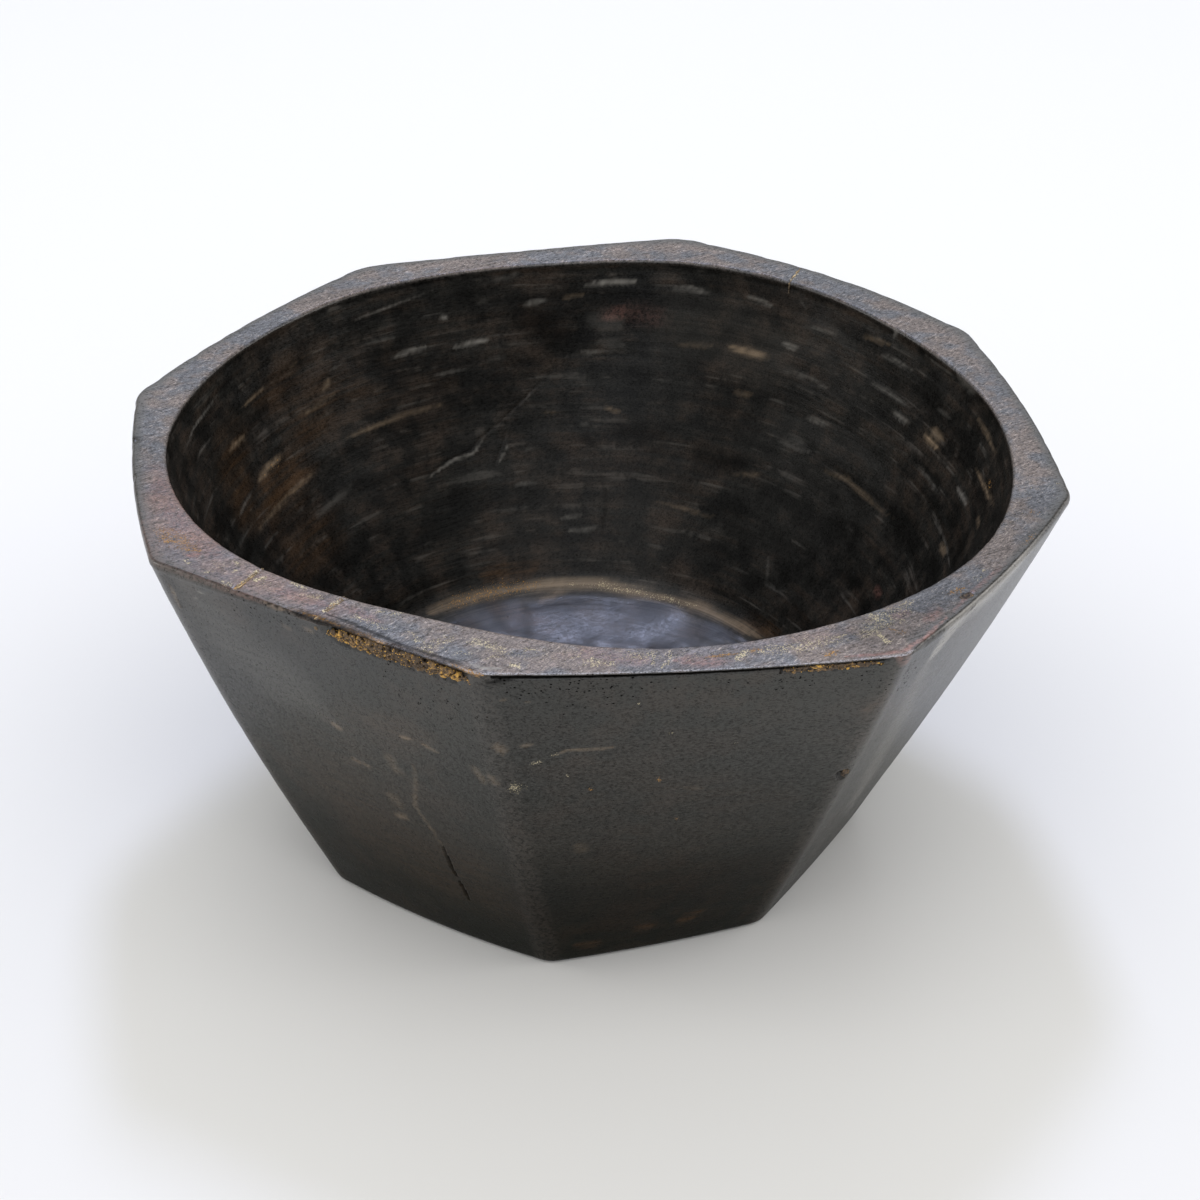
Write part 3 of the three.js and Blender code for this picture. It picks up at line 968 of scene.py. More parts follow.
class WoodShader(Palette):
    """The hardwood's shader: its patterns, and the colour, relief and shine that are made from them."""

    def __init__(self, look: Hardwood) -> None:
        """Adds the zones, patterns and marks.

        Args:
            look: The colours and sizes.
        """
        super().__init__("hardwood")
        self.look = look
        self.rim = self.attribute("rim")
        self.hollow = self.attribute("hollow")
        self.crack_and_shadow = self.attribute("crack_and_shadow")
        # Dark marks, which are painted shade and shadow in places, noted at the marks.
        self.dark = self.attribute(Tone.DARK.value)
        floor_low, floor_high = look.floor_rise
        self.high = self.level()
        self.on_floor = (floor_high - self.high).step(0.0, floor_high - floor_low) * self.hollow
        self.add_patterns()
        self.add_marks()

    def swept(self, pattern: Pattern, length: float, rise: float) -> Signal:
        """A pattern of strokes round the bowl.

        Args:
            pattern: Its kind.
            length: The strokes' length in millimetres.
            rise: How many there are per millimetre up the wall.

        Returns:
            The pattern.
        """
        pull = self.look.sweep_reach / length
        return self.noise(self.scaled(self.vector_attribute("sweep"), (pull, pull, rise)), pattern)

    def add_patterns(self) -> None:
        """Adds the patterns that colour, relief and shine share."""
        look, place = self.look, self.place
        self.broad = self.noise(place, look.broad)
        self.patchy = self.noise(place, look.patchy)
        self.fine = self.noise(place, look.fine)
        self.grit = self.noise(place, look.grit)
        self.dot = self.noise(place, look.dot)
        self.wander = self.fine * 0.9 + self.patchy * 2.2
        along = self.turned(place, -look.fibre_turn, look.fibre_stretch)
        self.fibre = self.noise(along, look.fibre)
        self.band = self.noise(along, look.band)
        hair_place = self.turned(self.moved(place, self.wander * 0.6), -look.hair_turn, look.hair_stretch)
        self.hair = self.noise(hair_place, look.hair)
        strand_place = self.turned(self.moved(place, self.wander), -look.hair_turn, look.strand_stretch)
        self.strand = self.noise(strand_place, look.strand)
        self.dash = self.swept(look.dash, look.dash_length, look.dash_rise)
        self.brush = self.swept(look.brush, look.brush_length, look.brush_rise)
        self.stroke = self.swept(look.stroke, look.brush_length, look.stroke_rise)

    def add_marks(self) -> None:
        """Adds the stains, scrapes, flecks and pores, where the mesh says that there are some."""
        look, patchy, fine = self.look, self.patchy, self.fine
        blot = (self.brush * 0.5 + patchy * 0.5).step(0.38, 0.62)
        # Brown marks: stains, partly painted light on the hollow's left wall and partly painted shade along
        # the front-left rim's edge.
        self.stain_and_painted_light = self.attribute(Tone.BROWN.value) * (0.30 + 1.0 * blot)
        self.scrape = self.dash.step(0.56, 0.74) * patchy.step(0.44, 0.60) * self.hollow * 0.15
        cream = self.attribute(Tone.CREAM.value)
        speckle = self.strand * 0.48 + self.dot * 0.52 + cream * 0.19
        self.fleck = (speckle - 0.652).step(0.0, 0.04) * cream.step(0.02, 0.10)
        ochre = self.attribute(Tone.OCHRE.value)
        dust = self.noise(self.moved(self.place, self.wander * 1.7), look.dust)
        powder = dust * 0.6 + self.strand * 0.4 + ochre * 0.20
        self.ochre_fleck = (powder - 0.635).step(0.0, 0.05) * ochre.step(0.02, 0.10)
        pore_place = self.moved(self.turned(self.place, -look.fibre_turn, look.pore_stretch), fine * 0.6)
        pore, own = self.cells(pore_place, look.pore_spacing)
        share_open = self.attribute(Tone.PORES.value) * 2.1 + 0.008
        self.hole = (0.29 - pore).step(0.0, 0.10) * (share_open - own).step(-0.01, 0.03)

    def rim_colour(self) -> bpy.types.NodeSocket:
        """Colour of the rim: scratched by hair lines, and cooler in patches.

        Returns:
            The colour.
        """
        look, fine, grit, hair = self.look, self.fine, self.grit, self.hair
        colour = self.blend(look.rim, look.rim_cool, (self.broad * 0.5 + self.patchy * 0.5).step(0.46, 0.58))
        level = 1 + 1.6 * (hair - 0.5) + 1.4 * (fine - 0.5) + 1.4 * (grit - 0.5)
        colour = self.shaded(colour, level.most(0.15))
        return self.blend(colour, look.rim_hair, hair.step(0.60, 0.72) * grit.step(0.40, 0.56) * 0.8)

    def wood_with_stains_and_painted_light(self) -> bpy.types.NodeSocket:
        """Colour of facets, rim and hollow with their stains and grain, and brown marks that are partly
        painted light and shade.

        Returns:
            The colour.
        """
        look, broad, patchy, fine = self.look, self.broad, self.patchy, self.fine
        warm = (1 - patchy).step(0.38, 0.60) * broad.step(0.38, 0.66)
        colour = self.blend(self.blend(look.facet, look.facet_warm, warm), self.rim_colour(), self.rim)
        mottle = (broad * 0.35 + patchy * 0.40 + self.brush * 0.25).step(0.44, 0.64)
        inside = self.blend(look.hollow, look.hollow_warm, mottle)
        inside = self.shaded(inside, 0.5 + 1.0 * (patchy * 0.5 + self.stroke * 0.5).step(0.36, 0.64))
        colour = self.blend(colour, inside, self.hollow)
        colour = self.blend(colour, look.brown, self.stain_and_painted_light)
        flush = self.attribute(Tone.ROSE.value) * (0.35 + 0.7 * fine.step(0.34, 0.6))
        colour = self.blend(colour, look.rose, flush)
        level = 0.46 + 0.44 * self.fibre.step(0.30, 0.70) + 0.34 * fine.step(0.30, 0.70)
        level = (level + 0.24 * self.band.step(0.3, 0.7)) * (0.80 + 0.40 * self.grit.step(0.3, 0.7))
        return self.shaded(colour, level)

    def colour(self) -> bpy.types.NodeSocket:
        """Colour of the wood with scrapes, flecks, pores and cracks on it, the painted shadow under the front
        rim's overhang, the painted glint on its crisp edge, and rubbed edges that also paint a soft highlight
        on the ridges.

        Returns:
            The colour.
        """
        look, fine, grit = self.look, self.fine, self.grit
        worn = 0.62 + 0.38 * self.brush.step(0.36, 0.60)
        # Pale marks: scrapes, and in a few places painted highlights and a glint.
        pale = self.scrape.most(self.attribute(Tone.PALE.value) * worn)
        colour = self.blend(self.wood_with_stains_and_painted_light(), look.pale, pale)
        colour = self.blend(colour, look.tan, self.attribute(Tone.TAN.value) * worn)
        colour = self.blend(colour, look.cream, self.fleck * (0.62 + 0.6 * grit))
        ochre = self.blend(look.ochre, look.brown, grit.step(0.4, 0.7))
        colour = self.blend(colour, ochre, self.ochre_fleck * 0.9)
        # Painted glint: a pale bluish highlight, broken into sparkles, along the crisp front edge of the rim.
        edge = self.attribute("edge") * (self.dot * 0.5 + grit * 0.5).step(0.44, 0.58)
        colour = self.blend(colour, look.edge, edge * 0.8)
        # Black in pores, open splits and dark marks, and the painted shadow under the front rim's overhang.
        colour = self.blend(colour, look.deep, self.hole.most(self.crack_and_shadow).most(self.dark))
        # Rubbed edges go towards the rim's colour; along the ridges this lightening is also a painted soft
        # highlight.
        rubbed = self.attribute("wear") * 0.30 * fine.step(0.3, 0.7) * (1 - self.dark) * (1 - self.crack_and_shadow)
        return self.blend(colour, look.rim, rubbed)

    def relief(self) -> Signal:
        """Height of the grain, flecks and pores in millimetres, nearly level on the floor.

        Returns:
            The height.
        """
        off_floor, fine, grit = 1 - self.on_floor, self.fine, self.grit
        height = 0.040 * self.fibre + 0.045 * fine + 0.028 * grit
        height = height + 0.08 * self.patchy * (1 - self.rim) * off_floor
        height = height - 0.22 * self.hole + 0.07 * self.fleck + 0.08 * self.ochre_fleck
        height = height + self.rim * (0.06 * self.hair + 0.04 * grit + 0.05 * fine)
        strokes_cut = 0.06 * self.brush + 0.12 * self.stroke * off_floor + 0.05 * self.scrape
        return (height + self.hollow * strokes_cut) * (1 - 0.72 * self.on_floor)

    def roughness(self) -> Signal:
        """How matt the wood is, more so where it is damaged.

        Returns:
            The roughness.
        """
        roughness = 0.31 + 0.30 * (self.fine - 0.5) + 0.26 * (self.fibre - 0.5) + 0.07 * self.on_floor
        roughness = roughness + 0.3 * self.hole + 0.35 * self.ochre_fleck + 0.3 * self.fleck
        return roughness + 0.15 * self.scrape + 0.4 * self.crack_and_shadow

    def oil(self) -> Signal:
        """How oiled the wood is, broken up by the grain and cut by cracks, pores and stains.

        Returns:
            The share from 0 to 1.
        """
        look, rim, on_floor = self.look, self.rim, self.on_floor
        oil = (1 - rim) * (1 - self.hollow) * look.facet_oil * self.high.step(*look.oil_rise)
        oil = oil + look.rim_oil * rim
        oil = oil + look.wall_oil * self.hollow + (look.floor_oil - look.wall_oil) * on_floor
        weave = self.fine.step(0.36, 0.64) * 0.34 + self.fibre.step(0.36, 0.64) * 0.58
        weave = weave + self.grit.step(0.36, 0.64) * 0.38
        calm = 0.52 + 0.35 * self.brush.step(0.36, 0.64)
        weave = weave * (1 - on_floor) + calm * on_floor
        oil = oil * (0.42 + 0.88 * weave) * (1 - self.crack_and_shadow) * (1 - self.hole) * (1 - 0.75 * self.dark)
        return (oil * (1 - 0.70 * self.stain_and_painted_light * rim)).least(1.0)


@dataclass(frozen=True)
class OchreFill:
    """The hardened ochre filler: granular, with bright grains and dark pits."""

    name: str
    bright: Colour = (0.72, 0.41, 0.075)
    middle: Colour = (0.270, 0.160, 0.062)
    dull: Colour = (0.085, 0.058, 0.036)
    pit: Colour = (0.006, 0.004, 0.003)
    swell: Pattern = Pattern(3.2, 3.0, 0.6)
    fine: Pattern = Pattern(0.30, 2.0, 0.6)

    def build(self) -> bpy.types.Material:
        """Builds the shader.

        Returns:
            The material.
        """
        fill = Palette(self.name)
        swell = fill.noise(fill.place, self.swell)
        fine = fill.noise(fill.place, self.fine)
        tone = fill.attribute("grain_tone")
        pitted = fill.attribute("pit")
        colour = fill.blend(self.dull, self.middle, (tone * 0.5 + fine * 0.6).step(0.42, 0.66))
        colour = fill.blend(colour, self.bright, (tone * 0.7 + fine * 0.6 + swell * 0.3).step(0.86, 1.06))
        colour = fill.blend(colour, self.pit, pitted)
        height = 0.14 * fine + 0.05 * swell
        return fill.finish(colour, 0.72 + 0.2 * (fine - 0.5), height)


@dataclass(frozen=True)
class PaleFloor:
    """The plain pale floor that the bowl stands on."""

    width: float = 6.0
    colour: Colour = (0.84, 0.83, 0.81)
    roughness: float = 0.6

    def build(self) -> bpy.types.Object:
        """Makes the floor.

        Returns:
            The floor.
        """
        mesh = bpy.data.meshes.new("pale_floor")
        half = self.width / 2
        corners = [(-half, -half, 0), (half, -half, 0), (half, half, 0), (-half, half, 0)]
        mesh.from_pydata(corners, [], [(0, 1, 2, 3)])
        material = bpy.data.materials.new("pale_floor")
        material.use_nodes = True
        shader = material.node_tree.nodes["Principled BSDF"]
        shader.inputs["Base Color"].default_value = (*self.colour, 1.0)
        shader.inputs["Roughness"].default_value = self.roughness
        mesh.materials.append(material)
        floor = linked_object("pale_floor", mesh)
        return floor


@dataclass(frozen=True)
class SoftLamp:
    """One soft area lamp that looks at the bowl. Sizes are in metres."""

    name: str
    place: tuple[float, float, float]
    width: float
    depth: float
    radiance: float
    colour: Colour
    aim: tuple[float, float, float] = (0.0, 0.0, 0.06)

    def build(self) -> bpy.types.Object:
        """Makes the lamp.

        Returns:
            The lamp.
        """
        data = bpy.data.lights.new(self.name, "AREA")
        data.shape = "RECTANGLE"
        data.size = self.width
        data.size_y = self.depth
        data.energy = self.radiance * math.pi * self.width * self.depth
        data.color = self.colour
        lamp = linked_object(self.name, data)
        lamp.location = self.place
        toward = Vector(self.aim) - Vector(self.place)
        lamp.rotation_mode = "QUATERNION"
        lamp.rotation_quaternion = toward.to_track_quat("-Z", "Y")
        return lamp


@dataclass(frozen=True)
class Studio:
    """The floor, the soft lamps and the even light of the room."""

    floor: PaleFloor = PaleFloor()
    lamps: tuple[SoftLamp, ...] = (
        SoftLamp("window_behind", (-0.20, 2.10, 1.42), 2.4, 1.1, 1.05, (0.90, 0.95, 1.0)),
        SoftLamp("skylight", (-0.03, 0.77, 1.30), 0.19, 0.34, 34.0, (0.64, 0.71, 1.0)),
        SoftLamp("sky_in_front", (0.0, -1.20, 0.62), 0.34, 0.5, 1.2, (0.74, 0.82, 1.0)),
        SoftLamp("ceiling", (0.0, -1.10, 1.75), 2.8, 2.2, 1.10, (1.0, 0.99, 0.97)),
        SoftLamp("right_wall", (1.50, 0.20, 0.42), 1.2, 0.6, 3.0, (1.0, 0.98, 0.95)),
        SoftLamp("left_wall", (-1.50, 0.00, 0.42), 1.0, 0.6, 2.8, (1.0, 0.98, 0.94)),
    )
    room_colour: Colour = (0.98, 0.99, 1.0)
    room_strength: float = 0.54

    def build(self) -> None:
        """Makes all of it and sets how colours are shown."""
        self.floor.build()
        for lamp in self.lamps:
            lamp.build()
        world = bpy.data.worlds.new("even_room")
        world.use_nodes = True
        background = world.node_tree.nodes["Background"]
        background.inputs["Color"].default_value = (*self.room_colour, 1.0)
        background.inputs["Strength"].default_value = self.room_strength
        bpy.context.scene.world = world
        bpy.context.scene.view_settings.view_transform = "Standard"


PALE, TAN, OCHRE, CREAM = Tone.PALE, Tone.TAN, Tone.OCHRE, Tone.CREAM
ROSE, BROWN, DARK, PORES = Tone.ROSE, Tone.BROWN, Tone.DARK, Tone.PORES

RIM_MARKS: tuple[Mark, ...] = (
    # Broad tones of the rim, and the flecks along the checks.
    *strokes(
        ROSE, (26.0, 0.26, 160, 470, 185, 540, 250, 580, 330, 608),
        (14.0, 0.14, 560, 655, 700, 655, 850, 630),
    ),
    # Broad dark strokes: on the right rim and along its left edge they paint the shade of the rolled rim
    # edge; on the back rim they darken it slightly.
    *strokes(
        DARK, (40.0, 0.22, 900, 618, 985, 562, 1045, 490),
        (34.0, 0.08, 1040, 460, 1000, 400, 895, 318, 750, 264, 600, 258),
        (30.0, 0.08, 500, 262, 385, 280, 250, 350, 150, 420), (18.0, 0.34, 870, 636, 915, 612, 940, 596),
        (20.0, 0.12, 900, 320, 820, 285, 740, 262), (20.0, 0.14, 140, 450, 165, 500),
    ),
    *strokes(TAN, (1.9, 0.8, 264, 567, 250, 577, 237, 587), (2.6, 0.35, 346, 596, 334, 604, 324, 611)),
    *strokes(
        CREAM, (3.0, 1.0, 264, 568, 250, 577, 238, 586), (9.0, 0.3, 500, 655, 600, 655, 700, 655, 760, 650),
        (4.6, 1.0, 345, 597, 334, 604, 324, 611), (2.0, 0.75, 800, 269, 790, 282),
    ),
    *strokes(OCHRE, (3.4, 0.6, 345, 597, 334, 604, 324, 611), (2.2, 0.95, 243, 583, 237, 588)),
    # Painted glint on the front-left corner of the rim's edge.
    *strokes(PALE, (1.3, 0.95, 470, 664, 484, 668, 503, 668)),
    # Left rim, as far as the first check.
    *strokes(
        OCHRE, (9.0, 0.62, 166, 533, 188, 546), (2.4, 0.95, 162, 541, 179, 541),
        (2.4, 0.8, 188, 550, 198, 550),
    ),
    *strokes(ROSE, (2.6, 0.9, 190, 555, 197, 554), (16.0, 0.45, 160, 480, 175, 515, 215, 556)),
    *strokes(
        CREAM, (2.0, 0.8, 185, 560, 189, 563), (1.8, 0.85, 205, 572, 210, 571),
        (3.2, 0.5, 214, 561, 228, 569), (1.6, 0.9, 232, 573, 239, 568), (1.6, 0.9, 235, 562, 239, 565),
        (1.6, 0.8, 240, 557, 247, 559), (3.4, 0.65, 222, 581, 234, 587),
    ),
    # Between the two left checks.
    *strokes(
        CREAM, (2.6, 0.95, 256, 580, 265, 577), (2.6, 0.6, 261, 585, 268, 582),
        (2.8, 0.9, 294, 582, 304, 587), (4.0, 0.7, 306, 595, 319, 597),
        (3.4, 0.85, 330, 607, 336, 600, 344, 595),
    ),
    *strokes(ROSE, (7.0, 0.5, 272, 588, 330, 606), (5.0, 0.45, 345, 606, 380, 622)),
    # From the second check to the front corner.
    *strokes(
        CREAM, (2.2, 0.8, 355, 615, 360, 618), (4.2, 0.55, 350, 616, 372, 622, 390, 630),
        (2.0, 0.7, 376, 612, 385, 611), (2.2, 0.85, 391, 614, 401, 613), (2.0, 0.7, 408, 632, 420, 637),
        (2.0, 0.9, 416, 640, 421, 641), (5.5, 0.6, 430, 646, 448, 640), (3.0, 0.65, 420, 648, 432, 653),
        (6.5, 0.75, 478, 641, 500, 650), (2.0, 0.95, 487, 657, 490, 657), (2.6, 0.6, 455, 655, 468, 653),
    ),
    # The front rim.
    *strokes(
        CREAM, (2.6, 0.95, 511, 664, 521, 667), (1.5, 0.8, 514, 648, 549, 650),
        (1.6, 0.8, 562, 668, 567, 659, 578, 656, 589, 645), (1.5, 0.75, 603, 655, 613, 645),
        (5.0, 0.8, 590, 661, 608, 663), (1.7, 0.8, 626, 650, 634, 646), (6.5, 0.66, 636, 656, 650, 655),
        (1.5, 0.8, 653, 664, 654, 654, 662, 648, 670, 652, 668, 662, 661, 667),
        (1.6, 0.7, 688, 650, 697, 641), (3.4, 0.85, 738, 659, 746, 652),
    ),
    *strokes(OCHRE, (1.7, 0.95, 706, 657, 738, 653)),
    *strokes(ROSE, (7.0, 0.55, 676, 660, 730, 662), (8.0, 0.4, 590, 652, 640, 660)),
    # The front rim's right part and the front-right corner.
    *strokes(
        CREAM, (8.5, 0.62, 752, 652, 800, 646, 850, 635), (5.0, 0.62, 790, 650, 815, 641),
        (2.8, 1.0, 879, 635, 889, 642), (2.6, 0.95, 868, 614, 880, 619),
        (9.0, 0.62, 860, 640, 880, 622, 915, 600), (3.0, 0.6, 880, 607, 897, 612),
    ),
    *strokes(
        OCHRE, (2.6, 0.8, 752, 651, 758, 649), (2.4, 0.9, 826, 655, 836, 651),
        (2.4, 0.75, 889, 628, 902, 632),
    ),
    *strokes(
        ROSE, (1.5, 0.95, 845, 656, 880, 654, 904, 650, 925, 637, 947, 617),
        (1.5, 0.6, 947, 617, 972, 592, 1006, 562), (1.2, 0.8, 700, 642, 760, 637, 820, 624, 880, 606),
        (1.4, 0.9, 925, 585, 950, 567, 984, 540), (1.2, 0.55, 360, 600, 420, 616, 520, 636, 600, 643),
        (3.0, 0.6, 895, 616, 905, 612), (4.0, 0.55, 925, 622, 942, 608),
    ),
    # The right rim, round the plug.
    *strokes(
        OCHRE, (3.4, 0.75, 951, 593, 962, 588), (2.4, 0.5, 1031, 511, 1037, 512),
        (2.0, 0.6, 1024, 545, 1036, 532),
    ),
    *strokes(
        CREAM, (2.0, 0.6, 976, 581, 979, 577), (1.4, 1.0, 983, 570, 985, 569),
        (9.0, 0.2, 990, 545, 1020, 505, 1035, 480), (2.4, 0.55, 978, 541, 984, 538),
        (3.0, 0.45, 1050, 487, 1058, 482),
    ),
)

EDGE_MARKS: tuple[Mark, ...] = (
    # The edge above the chip of the front-left rim: a brown band, partly stained wood and partly painted
    # shade, the painted shadow under the rim's overhang in the dark strokes, and ochre.
    *strokes(
        BROWN, (6.0, 1.0, 290, 609, 300, 613, 322, 621, 345, 630, 375, 641),
        (4.8, 1.0, 375, 641, 400, 650, 430, 660, 462, 670, 482, 675), ragged=0.25,
    ),
    *strokes(
        DARK, (4.2, 0.92, 292, 612, 322, 622, 345, 632, 375, 643),
        (3.2, 0.85, 375, 643, 400, 651, 430, 661, 462, 671), ragged=0.4,
    ),
    *strokes(DARK, (1.8, 0.9, 322, 612, 347, 621, 375, 633, 400, 644, 440, 657, 470, 667)),
    *strokes(
        OCHRE, (2.2, 1.0, 298, 611, 322, 619, 344, 628), (3.2, 1.0, 342, 628, 365, 637, 388, 646),
        (1.8, 0.75, 388, 648, 420, 658, 446, 666), (2.6, 1.0, 446, 664, 466, 670, 484, 675),
    ),
)

FACET_MARKS: tuple[Mark, ...] = (
    # Front-left side. First the painted shadow under the rim's overhang at the front corner, and two broad
    # strokes of painted shade on the front side, stronger towards the foot.
    *strokes(
        DARK, (2.4, 0.9, 479, 685, 492, 684, 508, 679, 530, 676), (80.0, 0.24, 560, 790, 740, 780),
        (50.0, 0.4, 560, 900, 700, 885), (1.1, 0.9, 268, 603, 270, 604), (1.1, 0.9, 275, 606, 277, 607),
        (1.0, 0.8, 176, 598, 183, 611), (0.9, 0.85, 298, 611, 299, 619),
    ),
    # The two broad pale strokes on the right side paint the highlight reflected there; the rest lighten the
    # wood in scrapes and a broad patch.
    *strokes(
        PALE, (16.0, 1.0, 1030, 520, 975, 600, 930, 660), (15.0, 0.26, 930, 660, 890, 740, 850, 810),
        (26.0, 0.13, 170, 560, 230, 640, 330, 720), (1.1, 0.6, 194, 590, 207, 597),
        (1.2, 0.55, 194, 598, 196, 599),
    ),
    *strokes(
        OCHRE, (1.8, 0.8, 236, 588, 242, 589), (2.6, 0.95, 450, 665, 470, 672, 487, 677),
        (1.5, 0.95, 459, 675, 466, 679, 470, 686),
    ),
    *strokes(BROWN, (44.0, 0.2, 340, 770, 400, 840, 470, 880), (20.0, 0.22, 330, 720, 430, 740)),
    *strokes(
        TAN, (1.7, 0.41, 398, 737, 410, 740), (1.8, 0.34, 422, 745, 438, 754),
        (2.4, 0.31, 334, 725, 339, 729), (2.0, 0.27, 353, 759, 358, 762), (2.2, 0.24, 364, 764, 368, 767),
        (1.7, 0.2, 412, 758, 415, 782, 414, 806, 430, 828, 442, 847), (2.8, 0.34, 398, 816, 404, 817),
        (3.5, 0.19, 388, 758, 397, 772), (4.0, 0.15, 391, 796, 399, 806), (3.0, 0.26, 475, 770, 483, 781),
        (2.6, 0.29, 490, 777, 494, 783), (1.6, 0.18, 283, 626, 289, 629), (1.8, 0.27, 305, 629, 311, 632),
        (2.0, 0.37, 264, 601, 283, 610), (1.6, 0.31, 168, 583, 181, 610),
    ),
    *strokes(PORES, (12.0, 0.25, 240, 600, 290, 620), (20.0, 0.1, 400, 680, 460, 720)),
    # Front side.
    *strokes(
        CREAM, (4.2, 0.95, 514, 788, 518, 791), (1.7, 1.0, 530, 764, 540, 763),
        (1.6, 0.8, 552, 756, 557, 755), (1.2, 1.0, 638, 704, 640, 704), (1.3, 0.9, 670, 734, 673, 734),
        (1.1, 0.9, 566, 776, 568, 777), (1.0, 0.9, 735, 744, 736, 744),
    ),
    *strokes(
        TAN, (1.3, 0.44, 551, 757, 567, 751, 602, 750, 622, 746), (2.6, 0.37, 497, 747, 503, 752),
        (1.8, 0.31, 520, 747, 534, 745), (1.0, 0.23, 500, 701, 508, 700), (0.9, 0.18, 524, 703, 530, 702),
        (1.6, 0.19, 684, 789, 706, 789), (3.0, 0.15, 579, 846, 582, 851),
    ),
    *strokes(
        OCHRE, (1.4, 0.9, 590, 789, 591, 790), (1.4, 0.9, 659, 777, 660, 783),
        (1.3, 0.8, 677, 819, 678, 820),
    ),
    *strokes(
        BROWN, (5.0, 0.7, 676, 925, 704, 910), (4.0, 0.6, 640, 928, 650, 927),
        (4.0, 0.6, 575, 946, 602, 944), (40.0, 0.08, 560, 850, 640, 870, 740, 850),
        (20.0, 0.12, 580, 765, 680, 790, 800, 800), (3.6, 0.65, 866, 711, 880, 703),
    ),
    *strokes(
        PORES, (6.0, 0.38, 500, 680, 524, 690), (7.5, 0.42, 556, 690, 600, 682),
        (6.0, 0.22, 560, 705, 620, 700), (5.0, 0.2, 690, 690, 760, 680), (6.5, 0.42, 778, 676, 812, 690),
        (6.5, 0.36, 862, 672, 880, 690), (9.0, 0.12, 610, 690, 680, 684),
    ),
    # Front-right side.
    *strokes(PORES, (7.0, 0.34, 912, 664, 905, 690)),
    # The faint wide dark stroke paints shade under the rolled rim edge.
    *strokes(
        DARK, (1.5, 0.9, 924, 640, 926, 638), (1.2, 0.7, 906, 674, 911, 668),
        (1.3, 0.75, 965, 616, 974, 607), (2.0, 0.3, 1000, 570, 1030, 536),
    ),
    *strokes(ROSE, (3.2, 0.55, 900, 655, 908, 662)),
)

